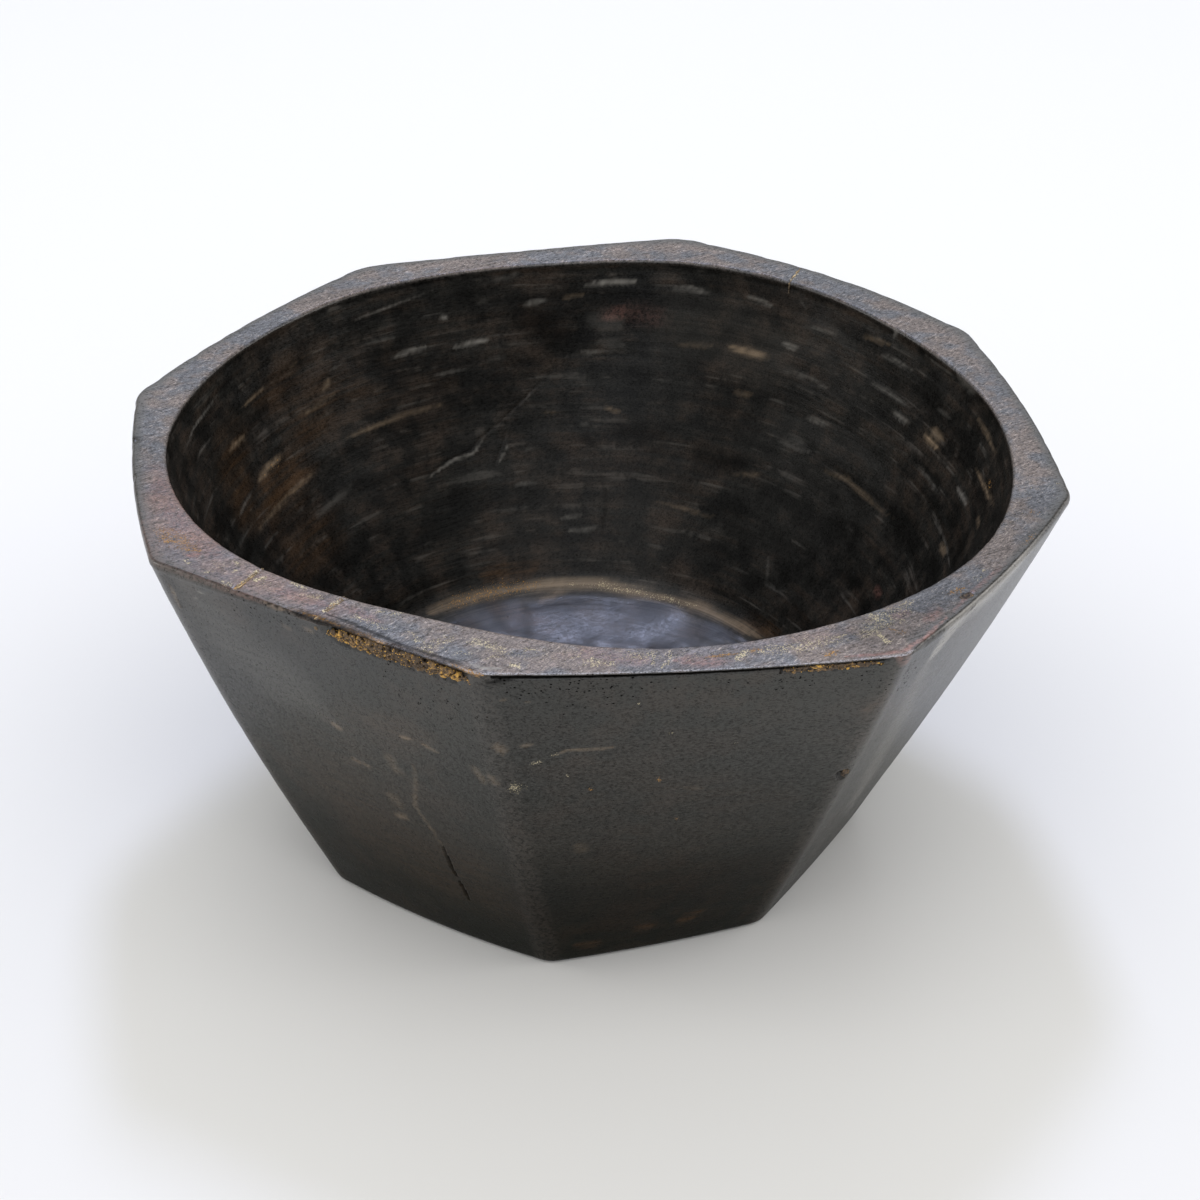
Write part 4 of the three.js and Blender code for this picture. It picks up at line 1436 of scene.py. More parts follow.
HOLLOW_MARKS: tuple[Mark, ...] = (
    # The hollow's left wall.
    *strokes(
        PALE, (1.2, 0.8, 233, 376, 212, 405, 195, 428, 184, 457), (1.5, 0.55, 219, 430, 202, 452, 197, 472),
        (1.5, 0.35, 200, 485, 196, 505, 195, 520), (1.2, 0.55, 271, 365, 253, 381, 236, 398),
        (1.6, 0.45, 238, 445, 237, 460), (1.5, 0.5, 258, 485, 247, 502, 239, 523),
        (1.6, 0.4, 350, 359, 325, 375), (1.2, 0.6, 469, 280, 430, 292, 390, 307, 337, 327),
        (1.6, 0.35, 405, 335, 375, 342, 347, 351), (1.9, 0.75, 433, 346, 412, 351, 389, 359),
        (1.6, 0.42, 477, 368, 455, 371, 430, 377), (2.2, 0.9, 443, 318, 446, 318),
        (1.6, 0.4, 287, 434, 272, 445), (2.6, 0.26, 357, 482, 337, 500, 315, 517),
    ),
    *strokes(
        TAN, (1.6, 0.45, 272, 382, 257, 395, 242, 409), (1.4, 0.42, 332, 342, 302, 360, 281, 376),
        (2.2, 1.0, 252, 432, 240, 442, 230, 451), (2.4, 0.75, 287, 453, 270, 467, 258, 485),
        (1.9, 0.58, 329, 460, 290, 495, 266, 521, 255, 543), (1.7, 0.55, 349, 385, 320, 405, 296, 421),
        (2.6, 0.4, 330, 382, 326, 388), (2.0, 0.36, 450, 402, 405, 415, 365, 430, 335, 443),
    ),
    *strokes(OCHRE, (4.0, 0.4, 285, 455, 262, 478)),
    # Brown patches of the left wall: the wood's warm tone, partly painted light falling there from the right
    # and back.
    *strokes(
        BROWN, (16.0, 0.62, 300, 470, 275, 500), (14.0, 0.4, 330, 400, 310, 430),
        (16.0, 0.35, 330, 530, 300, 560), (26.0, 0.25, 260, 400, 380, 400),
    ),
    # The hollow's back wall.
    *strokes(
        PALE, (1.8, 0.45, 483, 284, 508, 277, 530, 273), (1.8, 0.42, 473, 304, 491, 300),
        (2.1, 0.9, 521, 306, 535, 302, 548, 300), (2.1, 1.0, 584, 286, 612, 282, 645, 283),
        (2.1, 0.9, 667, 287, 691, 289, 713, 294), (7.0, 0.16, 588, 319, 625, 326),
        (4.0, 0.2, 596, 342, 625, 346), (2.1, 0.95, 449, 349, 473, 343, 495, 338),
        (1.8, 0.3, 486, 361, 507, 356), (1.9, 0.65, 557, 358, 588, 353, 628, 349),
        (1.5, 1.0, 420, 486, 436, 472, 454, 460, 473, 454, 483, 440, 499, 424),
        (1.4, 0.9, 499, 424, 520, 406, 536, 387, 557, 371), (1.5, 0.9, 508, 435, 507, 448, 498, 466),
        (1.4, 0.35, 483, 419, 496, 408, 509, 408), (1.6, 0.3, 436, 486, 467, 477, 486, 466),
        (1.8, 0.34, 577, 424, 591, 424), (1.8, 0.42, 522, 451, 539, 446), (1.6, 0.36, 551, 461, 604, 457),
        (1.8, 0.46, 512, 486, 538, 482), (1.8, 0.36, 558, 518, 585, 515), (1.8, 0.5, 564, 531, 600, 528),
    ),
    *strokes(
        TAN, (1.8, 0.35, 557, 299, 588, 295), (2.2, 0.45, 667, 345, 720, 347),
        (3.0, 0.75, 724, 345, 741, 351, 768, 358), (2.0, 0.5, 601, 406, 623, 413),
        (1.8, 0.34, 536, 414, 565, 412), (1.8, 0.36, 646, 499, 683, 508, 704, 515, 725, 518),
    ),
    *strokes(ROSE, (4.0, 0.42, 606, 316, 622, 314), (7.0, 0.12, 628, 312, 655, 318)),
    # A painted shadow line along a seam of the back wall, and three patches darkened towards black.
    *strokes(
        DARK, (2.4, 0.7, 576, 434, 604, 451), (2.0, 0.8, 601, 461, 606, 503, 601, 537),
        (12.0, 0.6, 525, 318, 556, 336), (9.0, 0.5, 625, 430, 655, 436), (8.0, 0.5, 700, 455, 735, 462),
    ),
    # The hollow's right wall.
    *strokes(
        PALE, (1.8, 0.5, 746, 296, 774, 306), (2.2, 0.8, 780, 343, 797, 349),
        (1.7, 0.55, 772, 367, 788, 371, 812, 379, 831, 393), (1.7, 0.45, 799, 325, 817, 329, 841, 336),
        (1.0, 0.7, 789, 287, 799, 300, 811, 318, 823, 337), (1.8, 0.6, 872, 351, 894, 361, 915, 374),
        (1.8, 0.6, 862, 380, 883, 390, 910, 409), (2.3, 0.8, 888, 409, 908, 424),
        (1.6, 0.5, 933, 406, 952, 421), (2.3, 0.7, 954, 484, 966, 507),
        (1.9, 0.6, 907, 460, 923, 474, 940, 497), (2.0, 0.62, 799, 414, 815, 421, 831, 428),
        (2.0, 0.3, 772, 439, 812, 454), (1.5, 0.42, 768, 545, 765, 590), (2.0, 0.55, 893, 336, 896, 331),
        (3.0, 0.3, 955, 375, 975, 395),
    ),
    *strokes(
        TAN, (2.0, 0.42, 857, 335, 891, 345), (2.6, 1.0, 920, 432, 938, 450),
        (3.0, 0.55, 932, 431, 939, 438), (2.2, 0.85, 972, 413, 983, 432, 995, 457),
        (2.0, 0.65, 970, 458, 980, 482, 993, 508),
        (2.2, 0.45, 817, 468, 846, 480, 862, 495, 883, 513, 899, 524), (1.8, 0.34, 725, 474, 762, 475),
        (2.0, 0.7, 975, 513, 977, 527), (2.6, 0.5, 938, 542, 944, 555), (2.2, 0.45, 730, 392, 755, 396),
    ),
    *strokes(OCHRE, (3.4, 0.6, 985, 480, 989, 490)),
    *strokes(ROSE, (3.0, 0.4, 874, 589, 877, 594)),
    # The floor and its worn ring.
    *strokes(OCHRE, (6.0, 0.62, 440, 606, 495, 590, 545, 582)),
    *strokes(PALE, (24.0, 0.07, 680, 330, 760, 350)),
    # The first brown stroke is more of the left wall's warm tone, partly painted light.
    *strokes(
        BROWN, (20.0, 0.45, 235, 455, 245, 500), (9.0, 0.6, 480, 575, 540, 568),
        (12.0, 0.45, 500, 610, 540, 620), (7.0, 0.6, 745, 625, 770, 632),
    ),
    *strokes(
        TAN, (4.6, 0.55, 425, 614, 452, 602, 486, 593, 520, 587),
        (4.4, 0.74, 500, 590, 553, 583, 600, 583, 645, 593, 690, 603),
        (3.6, 0.72, 660, 596, 700, 606, 737, 624, 762, 638), (2.6, 0.5, 535, 602, 556, 593, 572, 589),
        ragged=0.15,
    ),
    *strokes(CREAM, (3.4, 0.9, 560, 584, 600, 584, 645, 593, 700, 606)),
)


@dataclass(frozen=True)
class Swell:
    """A swell that the tools left: its depth and its width on each axis in millimetres, and its pattern."""

    depth: float
    widths: tuple[float, float, float]
    seed: float


@dataclass(frozen=True)
class Fineness:
    """How finely the skin is cut near what is drawn on it. The sizes are in millimetres."""

    passes: int = 4
    coarsest: float = 9.0
    # How much longer an edge may be for each millimetre beyond the margin of a line, and how far that goes.
    growth: float = 0.7
    reach: float = 5.0
    slack: float = 1.45
    cut_edge: float = 0.36
    cut_share: float = 0.8
    check_margin: float = 0.4
    split_margin: float = 0.5
    pocket_margin: float = 0.6
    dent_edge: float = 0.6
    mark_edge: float = 0.45
    mark_margin: float = 0.3
    mark_share: float = 2.6
    widest_mark: float = 5.0
    chip_margin: float = 0.6


@dataclass(frozen=True)
class Spans:
    """Where along the section each kind of wear goes: from nothing to all, and back to nothing.

    The whole numbers are those of the stretches. The spans called shown are for colours, and the rest
    for the shape.
    """

    facet: Span = (1.9, 2.1, 2.96, 3.1)
    rim: Span = (3.4, 4.0, 5.0, 5.6)
    hollow: tuple[float, float] = (5.6, 6.1)
    arris: Span = (3.0, 3.5, 3.9, 4.3)
    lip: Span = (4.8, 5.1, 5.9, 6.1)
    chip: tuple[float, float] = (2.5, 4.05)
    shown_ridge: Span = (1.5, 2.1, 3.6, 4.0)
    shown_arris: Span = (3.0, 3.4, 4.0, 4.25)
    shown_lip: Span = (4.8, 5.0, 5.6, 6.05)
    # Where the painted glint runs along the crisp rim edge.
    shown_glint: Span = (3.3, 3.7, 4.02, 4.06)
    shown_hollow: tuple[float, float] = (5.4, 6.02)
    shown_rim_end: tuple[float, float] = (5.2, 5.9)
    shown_rim_start: float = 3.25
    shown_rim_rise: float = 0.4
    # How much further in the rim's colour starts where its edge is fully rolled.
    shown_rim_shift: float = 0.72


@dataclass
class BowlBody:
    """The carved block with everything that time did to it, in millimetres.

    The skin is one closed mesh. Each of its points knows its place round the bowl and its place along
    the section, so the mesh is cut finer near each mark and then laid on the true form.
    """

    photo: PhotoCamera
    block: BlockForm = field(default_factory=BlockForm)
    hollow: HollowForm = field(default_factory=HollowForm)
    checks: dict[str, RimCheck] = field(default_factory=lambda: {
        "left_1": RimCheck((-73, -61.5), (-85, -84.5), 1.7, 0.24),
        "left_2": RimCheck((-52.5, -76.5), (-65, -95.5), 1.7, 0.20),
        "back": RimCheck((50.5, 84.5), (63, 119), 1.0, 0.24),
    })
    pocket: PlugPocket = field(default_factory=PlugPocket)
    chips: tuple[ArrisChip, ...] = (
        ArrisChip(7, 0.53, 1.03, 108.6, 103.6, 1.9, lip=0.08),
        ArrisChip(0, 0.70, 0.98, 108.4, 106.2, 2.2, raggedness=0.22),
        # The groove under the front rim's crisp edge, painted black below half a millimetre as its shadow.
        ArrisChip(0, -0.03, 1.0, 108.5, 107.3, 1.5, taper=0.03, raggedness=0.16, edge=0.24, black=0.5),
    )
    splits: tuple[Split, ...] = (
        Split(0.75, 1.8, ((0.72, 40), (0.725, 31.5), (0.735, 28.5)), side=7),
        Split(0.60, 1.4, ((0.738, 27), (0.745, 24), (0.75, 19.5)), side=7),
        Split(1.0, 0.14, ((125, 56), (118, 59.5), (113, 61), (111, 63.5), (107, 66.6), (104, 70),
                          (100.5, 74.4), (96.5, 79)), open=False),
        Split(0.9, 0.12, ((105.6, 64.5), (107.2, 60), (108.7, 56.4)), open=False),
    )
    dents: tuple[Dent, ...] = (
        Dent((843.0, 775.5), 2.6, 1.7),
        Dent((134.0, 440.0), 2.2, 0.7),
        Dent((133.0, 480.0), 1.9, 0.6),
        Dent((733.0, 648.0), 3.0, 0.4),
    )
    # Marks, with the first and last place along the section that they may reach.
    marks: tuple[tuple[float, float, tuple[Mark, ...]], ...] = (
        (0.0, 3.85, FACET_MARKS), (3.0, 4.55, EDGE_MARKS), (3.3, 5.8, RIM_MARKS), (5.3, 9.1, HOLLOW_MARKS),
    )
    side_steps: int = 44
    corner_steps: int = 6
    seam: float = 2.5
    ray_step_pixels: float = 6.0
    # Depth under the rim within which the checks and the pocket cut.
    cut_zone: float = 8.0
    fineness: Fineness = Fineness()
    spans: Spans = Spans()
    facet_swells: tuple[Swell, ...] = (
        Swell(0.28, (24.0, 24.0, 24.0), 1.0), Swell(0.10, (7.0, 7.0, 3.5), 9.0),
    )
    rim_swells: tuple[Swell, ...] = (Swell(0.18, (9.0, 9.0, 30.0), 3.0),)
    # Gouge marks of the hollow: their widths are round the bowl, twice, and up the wall.
    gouges: tuple[Swell, ...] = (
        Swell(0.46, (16.0, 16.0, 6.5), 11.0),
        Swell(0.644, (34.0, 34.0, 16.0), 17.0),
        Swell(0.184, (10.0, 10.0, 6.5 / 2.4), 23.0),
    )
    arris_wear: float = 0.30
    lip_wear_share: float = 0.7
    wear_widths: tuple[float, float, float] = (4.2, 4.2, 3.0)
    split_reach: float = 5.0
    merge_gap: float = 0.004
    # How far a mark's ends narrow, where it fades as a share of half its width, and how far it is
    # looked for as a share of its width.
    mark_taper: float = 0.75
    mark_fade: tuple[float, float] = (0.10, 1.25)
    mark_reach: float = 1.15
    # How far from a ridge it looks rubbed and lighter, with a painted soft highlight, in millimetres, with a
    # side's length.
    ridge_reach: tuple[float, float] = (1.6, 4.5)
    side_length: float = 92.0

    def rows(self) -> np.ndarray:
        """Places of the mesh's rings along the section, between the two poles.

        Returns:
            Numbers that rise along the section.
        """
        even = {
            Stretch.UNDERSIDE: 10, Stretch.FOOT_ROLL: 4, Stretch.FACET: 50, Stretch.RIM_ROLL: 7,
            Stretch.RIM: 13, Stretch.LIP: 4, Stretch.WALL: 46, Stretch.FLOOR_EDGE: 6, Stretch.FLOOR: 18,
        }
        places = []
        for stretch, count in even.items():
            share = np.arange(count) / count
            if stretch is Stretch.RIM:
                share = (1 - np.cos(np.pi * share)) / 2
            places.append(stretch.value + share)
        return np.concatenate(places)[1:]

    def columns(self) -> np.ndarray:
        """Places of the mesh's columns round the bowl, starting at the seam.

        Returns:
            Numbers that rise round the bowl.
        """
        on_side = np.arange(self.side_steps) / self.side_steps * SIDE_SPAN
        on_corner = SIDE_SPAN + np.arange(self.corner_steps) / self.corner_steps * (1 - SIDE_SPAN)
        within = np.concatenate([on_side, on_corner])
        around = (np.arange(SIDES)[:, None] + within[None]).ravel()
        return np.sort((around - self.seam) % SIDES) + self.seam

    def turn_of(self, around: np.ndarray) -> np.ndarray:
        """Angle about the mouth's centre of each place round the bowl.

        Args:
            around: Places round the bowl.

        Returns:
            Angles in radians.
        """
        flat = np.full(len(around), self.block.height)
        out = self.block.outline(around, flat, 0 * flat) - np.array(self.hollow.mouth_centre)
        return np.arctan2(out[:, 1], out[:, 0])

    def base(self, around: np.ndarray, stage: np.ndarray, level: np.ndarray) -> np.ndarray:
        """Points of the skin before wear.

        Args:
            around: Place round the bowl, one each.
            stage: Place along the section: the number of the stretch, and the share of it after the point.
            level: Height of the rim at each point, which is lower in a check.

        Returns:
            One point per row, in millimetres.
        """
        block, hollow = self.block, self.hollow
        stretch = np.clip(np.floor(stage), 0, len(Stretch) - 1).astype(int)
        share = stage - stretch
        turn = self.turn_of(around)
        roll = block.roll_share(around)
        roll_drop, roll_inset = block.rim_roll_drop * roll, block.rim_roll_inset * roll
        dropped = np.clip((block.height - level) / roll_drop, 0, 1)
        points = np.zeros((len(around), 3))

        def put(kind: Stretch, xy: np.ndarray, height: np.ndarray) -> None:
            """Writes the points of one stretch."""
            here = stretch == kind.value
            points[here] = np.concatenate([xy, height[:, None]], axis=1)[here]

        zero = np.zeros(len(around))
        foot = block.outline(around, zero, zero + block.foot_roll_inset)
        put(Stretch.UNDERSIDE, foot * share[:, None], zero)
        sweep = share * math.pi / 2
        height = block.foot_roll_rise * (1 - np.cos(sweep))
        inset = block.foot_roll_inset * (1 - np.sin(sweep))
        put(Stretch.FOOT_ROLL, block.outline(around, height, inset), height)
        shoulder = block.height - roll_drop
        height = np.minimum(block.foot_roll_rise + share * (shoulder - block.foot_roll_rise), level)
        put(Stretch.FACET, block.outline(around, height, zero), height)
        sweep = (1 - share) * math.pi / 2
        height = np.minimum(block.height - roll_drop * (1 - np.cos(sweep)), level)
        inset = roll_inset * (1 - np.sin(sweep)) * (1 - dropped)
        put(Stretch.RIM_ROLL, block.outline(around, height, inset), height)
        outer = block.outline(around, level, roll_inset * (1 - dropped))
        lip_reach = np.where(dropped > 0, hollow.reach_at(level), hollow.mouth_reach + hollow.lip_round)
        inner = hollow.point(lip_reach, turn, level)[:, :2]
        put(Stretch.RIM, outer + (inner - outer) * share[:, None], level)
        for kind in (Stretch.LIP, Stretch.WALL, Stretch.FLOOR_EDGE, Stretch.FLOOR):
            reach, height = hollow.section(kind, np.clip(share, 0, 1)).T
            kept = np.minimum(height, level)
            reach = np.where(kept < height, hollow.reach_at(kept), reach)
            put(kind, hollow.point(reach, turn, kept)[:, :2], kept)
        return points

    def level_at(self, points: np.ndarray) -> np.ndarray:
        """Height of the rim at each point, which drops in the checks and the pocket.

        Args:
            points: Places in millimetres.

        Returns:
            Heights in millimetres.
        """
        drop = np.zeros(len(points))
        high = points[:, 2] > self.block.height - self.cut_zone
        near = points[high]
        for cut in (*self.checks.values(), self.pocket):
            drop[high] = np.maximum(drop[high], cut.drop(near))
        return self.block.height - drop

    def skin(self, around: np.ndarray, stage: np.ndarray) -> np.ndarray:
        """Points of the skin with its checks and pocket cut."""
        plain = self.base(around, stage, np.full(len(around), self.block.height))
        return self.base(around, stage, self.level_at(plain))

    def offset(self) -> np.ndarray:
        """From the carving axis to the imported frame, in millimetres: the box's middle is the origin.

        Returns:
            The shift on each axis.
        """
        lowest, highest = (np.array(corner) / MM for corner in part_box("bowl_body"))
        around = np.linspace(0, SIDES, 4000, endpoint=False)
        shoulder = self.block.height - self.block.rim_roll_drop * self.block.roll_share(around)
        outline = self.block.outline(around, shoulder, 0 * shoulder)
        middle = (outline.min(0) + outline.max(0)) / 2
        return np.array([*((lowest + highest)[:2] / 2 - middle), lowest[2]])

    def sheet(self) -> tuple[bmesh.types.BMesh, list]:
        """The even net of the skin, whose points keep their places round the bowl and along the section.

        Returns:
            The net, and its two layers of places.
        """
        net = bmesh.new()
        layers = [net.verts.layers.float.new(name) for name in ("around", "stage")]
        columns, rows = self.columns(), self.rows()

        def vertex(around: float, stage: float) -> bmesh.types.BMVert:
            """One point of the net."""
            made = net.verts.new((around, stage, 0))
            made[layers[0]], made[layers[1]] = around, stage
            return made

        grid = [[vertex(around, stage) for around in columns] for stage in rows]
        poles = [vertex(self.seam, 0.0), vertex(self.seam, float(len(Stretch)))]
        count = len(columns)
        for i in range(count):
            j = (i + 1) % count
            for lower, upper in zip(grid, grid[1:]):
                net.faces.new((lower[i], lower[j], upper[j], upper[i]))
            net.faces.new((poles[0], grid[0][j], grid[0][i]))
            net.faces.new((poles[1], grid[-1][i], grid[-1][j]))
        return net, layers

    def places(self, net: bmesh.types.BMesh, layers: list) -> tuple[np.ndarray, np.ndarray]:
        """Places round the bowl and along the section of a net's points.

        Args:
            net: The net.
            layers: Its layers of places.

        Returns:
            One number per point, for each.
        """
        around = np.array([v[layers[0]] for v in net.verts])
        stage = np.array([v[layers[1]] for v in net.verts])
        return around, stage

    def lay(self, net: bmesh.types.BMesh, layers: list) -> np.ndarray:
        """Lays a net on the skin and gives its points.

        Args:
            net: The net, whose points are moved.
            layers: Its layers of places.

        Returns:
            One point per row.
        """
        points = self.skin(*self.places(net, layers))
        for vertex, point in zip(net.verts, points.tolist()):
            vertex.co = point
        return points

    def cast(self, tree: BVHTree, pixels: Sequence[Pixel]) -> np.ndarray:
        """Where a line of the photograph's pixels meets the skin.

        Args:
            tree: The skin, in millimetres.
            pixels: The line's pixels.

        Returns:
            Points in millimetres, two or more, or none where the line misses the bowl.
        """
        shift = Vector(self.offset().tolist()) * MM
        spots = []
        for first, second in zip(pixels, [*pixels[1:], pixels[-1]]):
            count = max(1, int(math.dist(first, second) / self.ray_step_pixels))
            for k in range(count):
                share = k / count
                pixel = tuple(a + (b - a) * share for a, b in zip(first, second))
                start = (self.photo.place() - shift) / MM
                hit = tree.ray_cast(start, self.photo.ray(pixel))[0]
                if hit is not None:
                    spots.append(tuple(hit))
        return np.array(spots * 2 if len(spots) == 1 else spots)

    def fine_places(self, tree: BVHTree) -> list[tuple[np.ndarray, float, float]]:
        """Where the net is cut finer.

        Args:
            tree: The skin, for what is placed by a pixel.

        Returns:
            Lines in millimetres, each with its margin and its finest edge.
        """
        rule, high = self.fineness, self.block.height
        fine = []
        for check in self.checks.values():
            margin = check.width * rule.cut_share + rule.check_margin
            for depth in (0.0, check.depth / 2, check.depth):
                fine.append((check.line(high - depth), margin, rule.cut_edge))
        for depth in (0.0, self.pocket.depth):
            margin = self.pocket.width / 2 + rule.pocket_margin
            fine.append((self.pocket.line(high - depth), margin, rule.cut_edge))
        for split in self.splits:
            margin = split.width * rule.cut_share + rule.split_margin
            fine.append((split.places(self.block, self.hollow), margin, rule.cut_edge))
        for dent in self.dents:
            spot = self.cast(tree, (dent.pixel,))
            if len(spot):
                fine.append((spot, dent.radius, rule.dent_edge))
        for mark in (mark for _, _, zone in self.marks for mark in zone if mark.width < rule.widest_mark):
            line = self.cast(tree, mark.pixels)
            if len(line):
                edge = max(rule.mark_edge, mark.width / rule.mark_share)
                fine.append((line, mark.width / 2 + rule.mark_margin, edge))
        return fine

    def chip_edge(self, around: np.ndarray, points: np.ndarray) -> np.ndarray:
        """The finest edge that the chips under the rim ask for.

        Args:
            around: Places round the bowl.
            points: The points.

        Returns:
            The edge's length at each point.
        """
        margin = self.fineness.chip_margin
        edge = np.full(len(points), self.fineness.coarsest)
        for chip in self.chips:
            along = (around % SIDES - chip.side) / SIDE_SPAN
            level = (points[:, 2] < chip.top + margin) & (points[:, 2] > chip.bottom - margin)
            beside = (along > chip.start - 0.01) & (along < chip.end + 0.01) & level
            edge = np.where(beside, np.minimum(edge, chip.edge), edge)
        return edge

    def refine(self, net: bmesh.types.BMesh, layers: list, tree: BVHTree) -> None:
        """Cuts the net finer near the checks, chips, splits, dents and narrow marks.

        Args:
            net: The net, which is cut in place.
            layers: Its layers of places.
            tree: The skin, for what is placed by a pixel.
        """
        rule = self.fineness
        fine = self.fine_places(tree)
        for _ in range(rule.passes):
            net.verts.index_update()
            around, stage = self.places(net, layers)
            points = self.lay(net, layers)
            wanted = np.full(len(points), rule.coarsest)
            for line, margin, edge in fine:
                away = self.away_from(points, line, margin + rule.reach)
                beyond = away > margin + rule.reach - 0.1
                grown = edge + rule.growth * np.maximum(away - margin, 0)
                wanted = np.minimum(wanted, grown + rule.coarsest * beyond)
            outside = (stage > Stretch.FACET.value) & (stage < Stretch.RIM.value)
            wanted = np.where(outside, np.minimum(wanted, self.chip_edge(around, points)), wanted)
            ends = np.array([(e.verts[0].index, e.verts[1].index) for e in net.edges])
            lengths = np.linalg.norm(points[ends[:, 0]] - points[ends[:, 1]], axis=1)
            limit = rule.slack * np.minimum(wanted[ends[:, 0]], wanted[ends[:, 1]])
            at_seam = np.abs(around[ends[:, 0]] - around[ends[:, 1]]) > 1
            chosen = np.flatnonzero((lengths > limit) & ~at_seam)
            if not len(chosen):
                break
            net.edges.ensure_lookup_table()
            cut = [net.edges[i] for i in chosen.tolist()]
            bmesh.ops.subdivide_edges(net, edges=cut, cuts=1, use_grid_fill=True, use_single_edge=True)
            log.info("skin: %d points after cutting %d edges", len(net.verts), len(cut))

    @staticmethod
    def away_from(points: np.ndarray, line: np.ndarray, limit: float) -> np.ndarray:
        """Distance of points to a line, where it is within a limit, and the limit elsewhere.

        Args:
            points: Places in millimetres.
            line: The line's points.
            limit: The greatest distance.

        Returns:
            One distance per point.
        """
        near = np.all((points > line.min(0) - limit) & (points < line.max(0) + limit), axis=1)
        away = np.full(len(points), float(limit))
        if near.any():
            away[near] = np.minimum(distance_to_line(points[near], line)[0], limit)
        return away

    def sweep(self, points: np.ndarray, stage: np.ndarray) -> np.ndarray:
        """A place round and up the bowl that closes on itself: cosine and sine of the turn, and height.

        Args:
            points: Places in millimetres.
            stage: Places along the section.

        Returns:
            One row each. The last number is in millimetres, and goes inwards on the floor.
        """
        inside = (stage > Stretch.RIM.value)[:, None]
        from_axis = points[:, :2] - np.array(self.hollow.floor_centre) * inside / 2
        reach = np.linalg.norm(from_axis, axis=1)
        turn = np.arctan2(from_axis[:, 1], from_axis[:, 0])
        flat = smooth(Stretch.FLOOR_EDGE.value, Stretch.FLOOR_EDGE.value + 1, stage)
        height = points[:, 2] * 1.05 * (1 - flat) + (reach - self.hollow.floor_reach) * flat
        return np.stack([np.cos(turn), np.sin(turn), height], axis=1)

    def cut_depth(self, points: np.ndarray, split: Split) -> np.ndarray:
        """Depth of a split at each point.

        Args:
            points: Places in millimetres.
            split: The split.

        Returns:
            Depths in millimetres.
        """
        line = split.places(self.block, self.hollow)
        near = self.away_from(points, line, self.split_reach + 1) < self.split_reach
        depth = np.zeros(len(points))
        away, along = distance_to_line(points[near], line)
        ragged = 0.3 * noise_at(points[near], 0.9, 3.0) + 0.35 * noise_at(points[near], 3.0, 5.0)
        fullness = np.minimum(1, split.end_share + 4 * np.minimum(along, 1 - along))
        half = split.width / 2 * (1 + ragged) * fullness
        depth[near] = split.depth * np.clip(1 - away / half, 0, 1) ** split.flank
        return depth

    def wear(self, around: np.ndarray, stage: np.ndarray, points: np.ndarray, normals: np.ndarray,
             tree: BVHTree) -> np.ndarray:
        """Moves the points to where years of carving tools and use have brought them.

        Args:
            around: Places round the bowl.
            stage: Places along the section.
            points: The points, which are moved inwards in place.
            normals: The skin's normals.
            tree: The skin, for what is placed by a pixel.

        Returns:
            How far each point lies in an open split, or in the painted shadow under the front rim's overhang.
        """
        start = points.copy()
        spans, reach = self.spans, self.hollow.mouth_reach
        swept = self.sweep(start, stage) * (reach, reach, 1.0)
        depth = np.zeros(len(points))
        for zone, place, swells in (
            (between(spans.facet, stage), start, self.facet_swells),
            (between(spans.rim, stage), start, self.rim_swells),
            (smooth(*spans.hollow, stage), swept, self.gouges),
        ):
            for swell in swells:
                depth += zone * swell.depth * (0.5 + 0.5 * noise_at(place, swell.widths, swell.seed))
        rubbed = np.maximum(0, noise_at(start, self.wear_widths, 21.0) + 0.1) ** 1.3
        worn = between(spans.arris, stage) + self.lip_wear_share * between(spans.lip, stage)
        depth += worn * self.arris_wear * rubbed
        crack_and_shadow = np.zeros(len(points))
        for split in self.splits:
            cut = self.cut_depth(start, split)
            depth += cut
            if split.open:
                crack_and_shadow = np.maximum(crack_and_shadow, smooth(0.1, 0.75, cut / split.depth))
        for dent in self.dents:
            spot = self.cast(tree, (dent.pixel,))
            if len(spot):
                depth += dent.press(start, spot[0])
        depth *= stage > Stretch.FOOT_ROLL.value + 0.5
        points -= normals * depth[:, None]
        scooped = np.zeros(len(points))
        outside = (stage > spans.chip[0]) & (stage < spans.chip[1])
        for chip in self.chips:
            dug = chip.cover(around[outside], start[outside])
            scooped[outside] = np.maximum(scooped[outside], dug)
            # Painted shadow: black where a chip is deeper than its black depth, under the front rim's
            # overhang.
            crack_and_shadow[outside] = np.maximum(crack_and_shadow[outside], smooth(chip.black * 0.6, chip.black, dug))
        points -= self.block.outward(around) * scooped[:, None]
        points[:, 2] = np.clip(points[:, 2], 0, self.block.height)
        return crack_and_shadow

    def tone_level(self, mark: Mark, points: np.ndarray, line: np.ndarray) -> np.ndarray:
        """How strongly a mark along a line shows at each point.

        Args:
            mark: The mark.
            points: Places in millimetres.
            line: Its line on the skin.

        Returns:
            Numbers from 0 to 1.
        """
        away, along = distance_to_line(points, line)
        half = mark.width / 2
        away += half * mark.ragged * noise_at(points, max(1.0, half * 0.8), 8.0)
        is_long = np.linalg.norm(line[-1] - line[0]) > 1.5 * mark.width
        taper = 1 - self.mark_taper * np.abs(2 * along - 1) ** 3 if is_long else 1.0
        return mark.strength * (1 - smooth(*self.mark_fade, away / (half * taper)))

